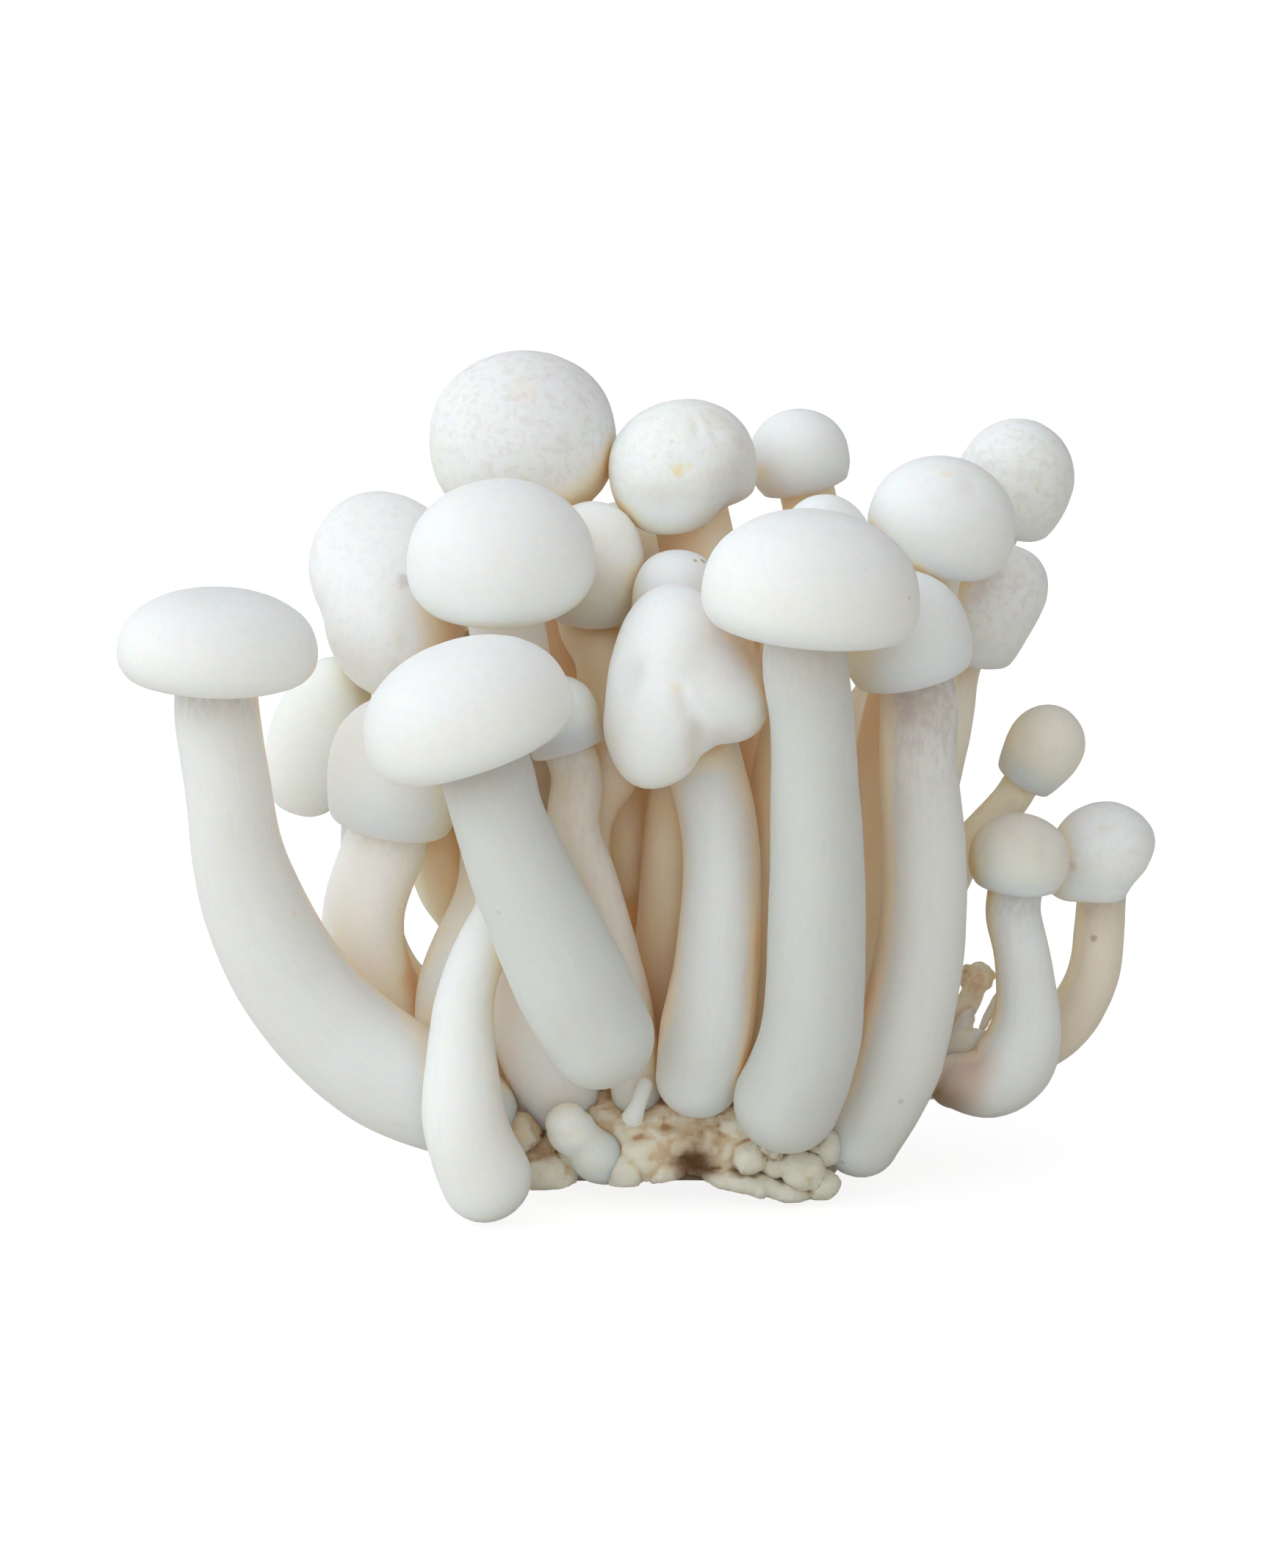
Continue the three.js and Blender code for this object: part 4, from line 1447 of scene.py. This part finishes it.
# Painted shade: a tan copy of the stem flesh for stems deep inside the bunch, in place of the shade there.
PAINTED_SHADE_TAN_STEM = StemFlesh(
    pale=(0.88, 0.86, 0.8),
    watery=(0.84, 0.78, 0.68),
    painted_shade_warm=(1.0, 0.83, 0.65),
    painted_shade_deep=(1.0, 0.74, 0.51),
    crowd=0.8,
    downy=0.2,
)
# Painted shade: an amber copy of the stem flesh for stems deep inside the bunch, in place of the shade there.
PAINTED_SHADE_AMBER_STEM = StemFlesh(
    pale=(0.95, 0.86, 0.73),
    watery=(0.92, 0.77, 0.6),
    painted_shade_warm=(1.0, 0.79, 0.59),
    painted_shade_deep=(1.0, 0.72, 0.49),
    crowd=0.8,
    downy=0.15,
)
# Partly painted shade: the front stems' own silky, bluish-grey tone, set darker for the shade under their
# caps.
SILKY_PAINTED_SHADE_STEM = StemFlesh(pale=(0.66, 0.705, 0.69), watery=(0.6, 0.62, 0.6), down=(0.63, 0.62, 0.605))
IVORY = StemFlesh(pale=(0.85, 0.875, 0.87), watery=(0.79, 0.785, 0.74))
# Painted light: a brighter copy of the stem flesh for a stem that stands in shade.
PAINTED_LIGHT_CREAM_STEM = StemFlesh(
    pale=(0.95, 0.955, 0.93), watery=(0.9, 0.87, 0.8), painted_shade_warm=(1.0, 0.92, 0.8), crowd=0.34, downy=0.35
)
# Painted light: a near-white copy of the stem flesh for a shaded stem foot.
PAINTED_LIGHT_SNOW_STEM = StemFlesh(
    pale=(0.97, 0.97, 0.95), watery=(0.9, 0.89, 0.85), painted_shade_warm=(0.98, 0.97, 0.94), painted_shade_deep=(0.95, 0.88, 0.77)
)

CAPS: dict[str, dict] = {
    "centre_lumpy_cap": {
        "dents": (
            Dent(-77, 12, 1.6, 20, 0.32, 4),
            Dent(-62, -26, 2.2, 16, 1.7),
            Dent(-98, -32, 2.6, 18, 1.7),
            Dent(-118, 6, -0.9, 18),
            Dent(-142, 4, -0.9, 18),
            Dent(-40, 12, -0.6, 20),
            Dent(-156, 46, 1.5, 18),
            Dent(-30, 60, 0.8, 20, 1.4, 20),
            Dent(-80, 40, 0.5, 8, 0.45, 6),
            Dent(-70, 44, -0.3, 8, 0.6),
            Dent(-97, 44, -0.25, 7, 0.6),
        ),
        "spots": (
            Spot((3.9, -25.2, 56.4), 1.2, SCAR, 0.45, 0.6),
            Spot((6.2, -24.6, 48.6), 1.6, (0.78, 0.72, 0.64), 0.5, 0.5),
        ),
        "finish": CapSkin(crowd=0.22),
        "lump": 0.02,
    },
    "crown_middle_cap": {
        "dents": (
            Dent(-91, 30, 0.35, 8, 1.2),
            Dent(-112, -18, -0.6, 16, 1.6, -10),
            Dent(-105, 2, 0.5, 14, 2.0, -14),
            Dent(-52, 2, 0.5, 18),
            Dent(-50, 58, 0.3, 16, 0.3, 35),
            Dent(-30, 50, 0.3, 16, 0.3, 35),
        ),
        "spots": (
            Spot((4.2, -2.0, 74.8), 1.0, YELLOW, 0.75),
            Spot((5.4, -1.9, 75.2), 0.6, YELLOW, 0.4),
            Spot((3.6, -0.4, 77.6), 0.35, GREY, 0.3),
            Spot((8.2, 2.8, 79.2), 2.0, (0.76, 0.73, 0.66), 0.5, 1.6),
            Spot((10.5, 2.4, 77.4), 1.6, (0.71, 0.68, 0.62), 0.3, 1.6),
        ),
        "finish": CapSkin(pale=(0.88, 0.9, 0.885), pitted=0.2, crowd=0.34),
    },
    "left_lobed_cap": {
        "dents": (
            Dent(-50, 40, 0.8, 24, 0.8, 30),
            Dent(-150, 30, 0.6, 18),
            Dent(-95, 8, -0.6, 24),
            Dent(-70, 22, 0.35, 10, 0.4, 40),
        ),
        "spots": (Spot((-24.2, -4.2, 63.7), 1.2, GREY, 0.5),),
        "finish": SPECKLED,
        "lump": 0.02,
    },
    "crown_left_cap": {
        "finish": PITTED,
        "dents": (Dent(-60, 55, 0.25, 16), Dent(-120, 50, 0.25, 14)),
        "spots": (Spot((-11.8, 4.1, 82.3), 2.0, (0.86, 0.81, 0.7), 0.35),),
    },
    "crown_far_right_cap": {"finish": PITTED},
    "right_notched_cap": {"finish": PITTED, "lump": 0.02},
    "crown_right_cap": {
        "dents": (Dent(-60, 60, 0.3, 12),),
        "spots": (Spot((31.8, -6.3, 75.0), 0.8, (0.9, 0.74, 0.5), 0.4),),
    },
    "front_right_cap": {
        "spots": (
            Spot((22.6, -32.8, 69.6), 0.3, GREY, 0.25),
            Spot((27.0, -29.7, 66.3), 0.42, BROWN, 0.4),
        )
    },
    "right_low_cap": {
        "finish": SPECKLED,
        "tuck": 0.4,
        "dents": (Dent(-100, 60, 0.4, 16), Dent(-12, -34, 2.6, 26, 1.2), Dent(-140, -26, -0.8, 20)),
        "spots": (
            Spot((48.9, -1.8, 36.7), 0.8, SCAR, 0.4, 0.6),
            Spot((45.9, -1.9, 32.6), 0.9, GREY, 0.6, 0.5),
        ),
    },
    "right_hooked_cap": {"finish": IVORY_CAP, "tuck": 0.8, "dents": (Dent(-60, 30, 0.35, 16, 0.6, 20),)},
    "crown_inner_cap": {"finish": PAINTED_LIGHT_CREAM_CAP, "dents": (Dent(-70, 10, 0.4, 20),)},
    "centre_small_cap": {
        "spots": (Spot((6.8, -3.9, 65.6), 0.42, BROWN, 0.8), Spot((6.0, -4.6, 65.7), 0.34, BROWN, 0.7))
    },
    "crown_back_cap": {"finish": CapSkin(crowd=0.3), "tuck": 0.6},
    "left_egg_cap": {"finish": PAINTED_LIGHT_BRIGHT_CAP, "tuck": 0.5},
    "left_back_cap": {"finish": PAINTED_LIGHT_CREAM_CAP},
    "right_ball_cap": {"finish": IVORY_CAP, "tuck": 1.0},
    "back_left_cap": {"tuck": 0.5},
    "back_inner_right_cap": {"tuck": 0.6},
    "front_slim_cap": {"finish": PAINTED_LIGHT_CREAM_CAP, "tuck": 0.2},
}
STEMS: dict[str, dict] = {
    "front_left_stem": {
        "finish": SILKY_PAINTED_SHADE_STEM,
        "neck": 12.0,
        "spots": (Spot((-13.8, -32.3, 34.7), 0.45, GREY, 0.7),),
    },
    "front_right_stem": {
        "finish": SILKY_PAINTED_SHADE_STEM,
        "neck": 14.0,
        "spots": (Spot((11.2, -23.2, 16.8), 1.3, (0.5, 0.32, 0.17), 0.7, 0.5),),
    },
    "centre_lumpy_stem": {
        "neck": 13.0,
        "spots": (Spot((12.3, -18.9, 20.5), 1.9, BROWN, 0.8), Spot((12.2, -18.6, 16.0), 1.7, BROWN, 0.7)),
    },
    "left_outer_stem": {"spots": (Spot((-35.4, -20.0, 31.6), 0.55, (0.8, 0.62, 0.42), 0.4),)},
    "right_hooked_stem": {
        "spots": (
            Spot((31.8, -8.0, 9.0), 6.5, (0.36, 0.26, 0.17), 0.95, 0.2),
            Spot((35.0, -8.8, 12.0), 4.6, (0.72, 0.58, 0.5), 0.8, 0.2),
        )
    },
    "right_leaning_stem": {
        "finish": StemFlesh(pale=(0.76, 0.79, 0.77), down=(0.5, 0.455, 0.43), downy=0.6),
        "neck": 21.0,
        "spots": (
            Spot((28.4, -14.0, 52.6), 5.0, (0.6, 0.52, 0.475), 0.5, 0.3),
            Spot((27.2, -19.6, 11.6), 0.45, GREY, 0.5),
            Spot((21.9, -18.0, 5.4), 0.42, BROWN, 0.8),
            Spot((21.3, -17.9, 4.6), 0.34, GREY, 0.8),
        ),
    },
    "front_slim_stem": {
        "finish": StemFlesh(pale=(0.84, 0.8, 0.75), down=(0.66, 0.6, 0.55), downy=0.45),
        "neck": 26.0,
    },
    "upper_left_stem": {"finish": PAINTED_LIGHT_SNOW_STEM},
    "front_club_stem": {"finish": IVORY},
    "left_egg_stem": {"finish": PAINTED_LIGHT_CREAM_STEM},
    "crown_middle_stem": {"finish": PAINTED_SHADE_AMBER_STEM},
    "crown_back_stem": {"finish": PAINTED_SHADE_AMBER_STEM},
    "behind_right_stem": {
        "finish": PAINTED_SHADE_TAN_STEM,
        "spots": (
            Spot((12.4, -13.4, 21.0), 2.6, (0.5, 0.3, 0.14), 0.8, 0.4),
            Spot((12.1, -13.4, 17.4), 3.0, (0.3, 0.16, 0.07), 0.95, 0.4),
        ),
    },
    "right_notched_stem": {"finish": StemFlesh(pale=(0.9, 0.84, 0.74))},
    "right_low_stem": {
        "finish": StemFlesh(pale=(0.76, 0.71, 0.61), watery=(0.68, 0.59, 0.46)),
        "spots": (Spot((48.4, -0.1, 24.3), 0.5, (0.38, 0.3, 0.2), 0.7),),
    },
    "right_ball_stem": {"finish": StemFlesh(pale=(0.82, 0.76, 0.66), watery=(0.75, 0.64, 0.48))},
    **{
        place + "_stem": {"finish": PAINTED_SHADE_TAN_STEM}
        for place in ("crown_inner", "crown_left", "crown_right", "centre_small", "back_inner_left")
    },
}
BUD_SHAPE: dict[str, object] = {"slot": Slot.BUD, "rounded": True, "rib": 0.02, "lump": 0.05}
# Painted shade: tan copies of the bud flesh for buds in the gaps of the bunch, with a pale patch painted
# where the shaded bud catches light.
BUDS: dict[str, dict] = {
    "bud_shaded": {
        "finish": BudFlesh(
            pale=(1.0, 0.8, 0.66), watery=(0.97, 0.72, 0.55), painted_shade_warm=(1.0, 0.76, 0.6), crowd=0.6
        ),
        "spots": (Spot((-1.4, -11.2, 44.4), 2.6, (0.97, 0.9, 0.8), 0.85),),
    },
    "bud_gap": {"finish": BudFlesh(pale=(1.0, 0.9, 0.78), watery=(0.98, 0.84, 0.69), painted_shade_warm=(1.0, 0.81, 0.64))},
}


def main() -> None:
    """Builds the bunch piece by piece, then the studio round it."""
    logging.basicConfig(level=logging.INFO, format="%(name)s %(message)s")
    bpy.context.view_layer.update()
    daylight = Daylight()
    for node in sorted(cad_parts):
        if node.endswith("_cap"):
            piece = Cap(node, **CAPS.get(node, {}))
        elif node.endswith("_stem"):
            piece = Stem(node, **STEMS.get(node, {}))
        elif node == "cut_base":
            piece = CutBase()
        elif node == "pin_right":
            piece = HookedPin()
        else:
            piece = Stem(node, **BUD_SHAPE, **BUDS.get(node, {"finish": BudFlesh()}))
        piece.dress(piece.build(daylight))
    Studio().build()
    bpy.context.scene.view_settings.view_transform = "Standard"


if __name__ == "__main__":
    main()
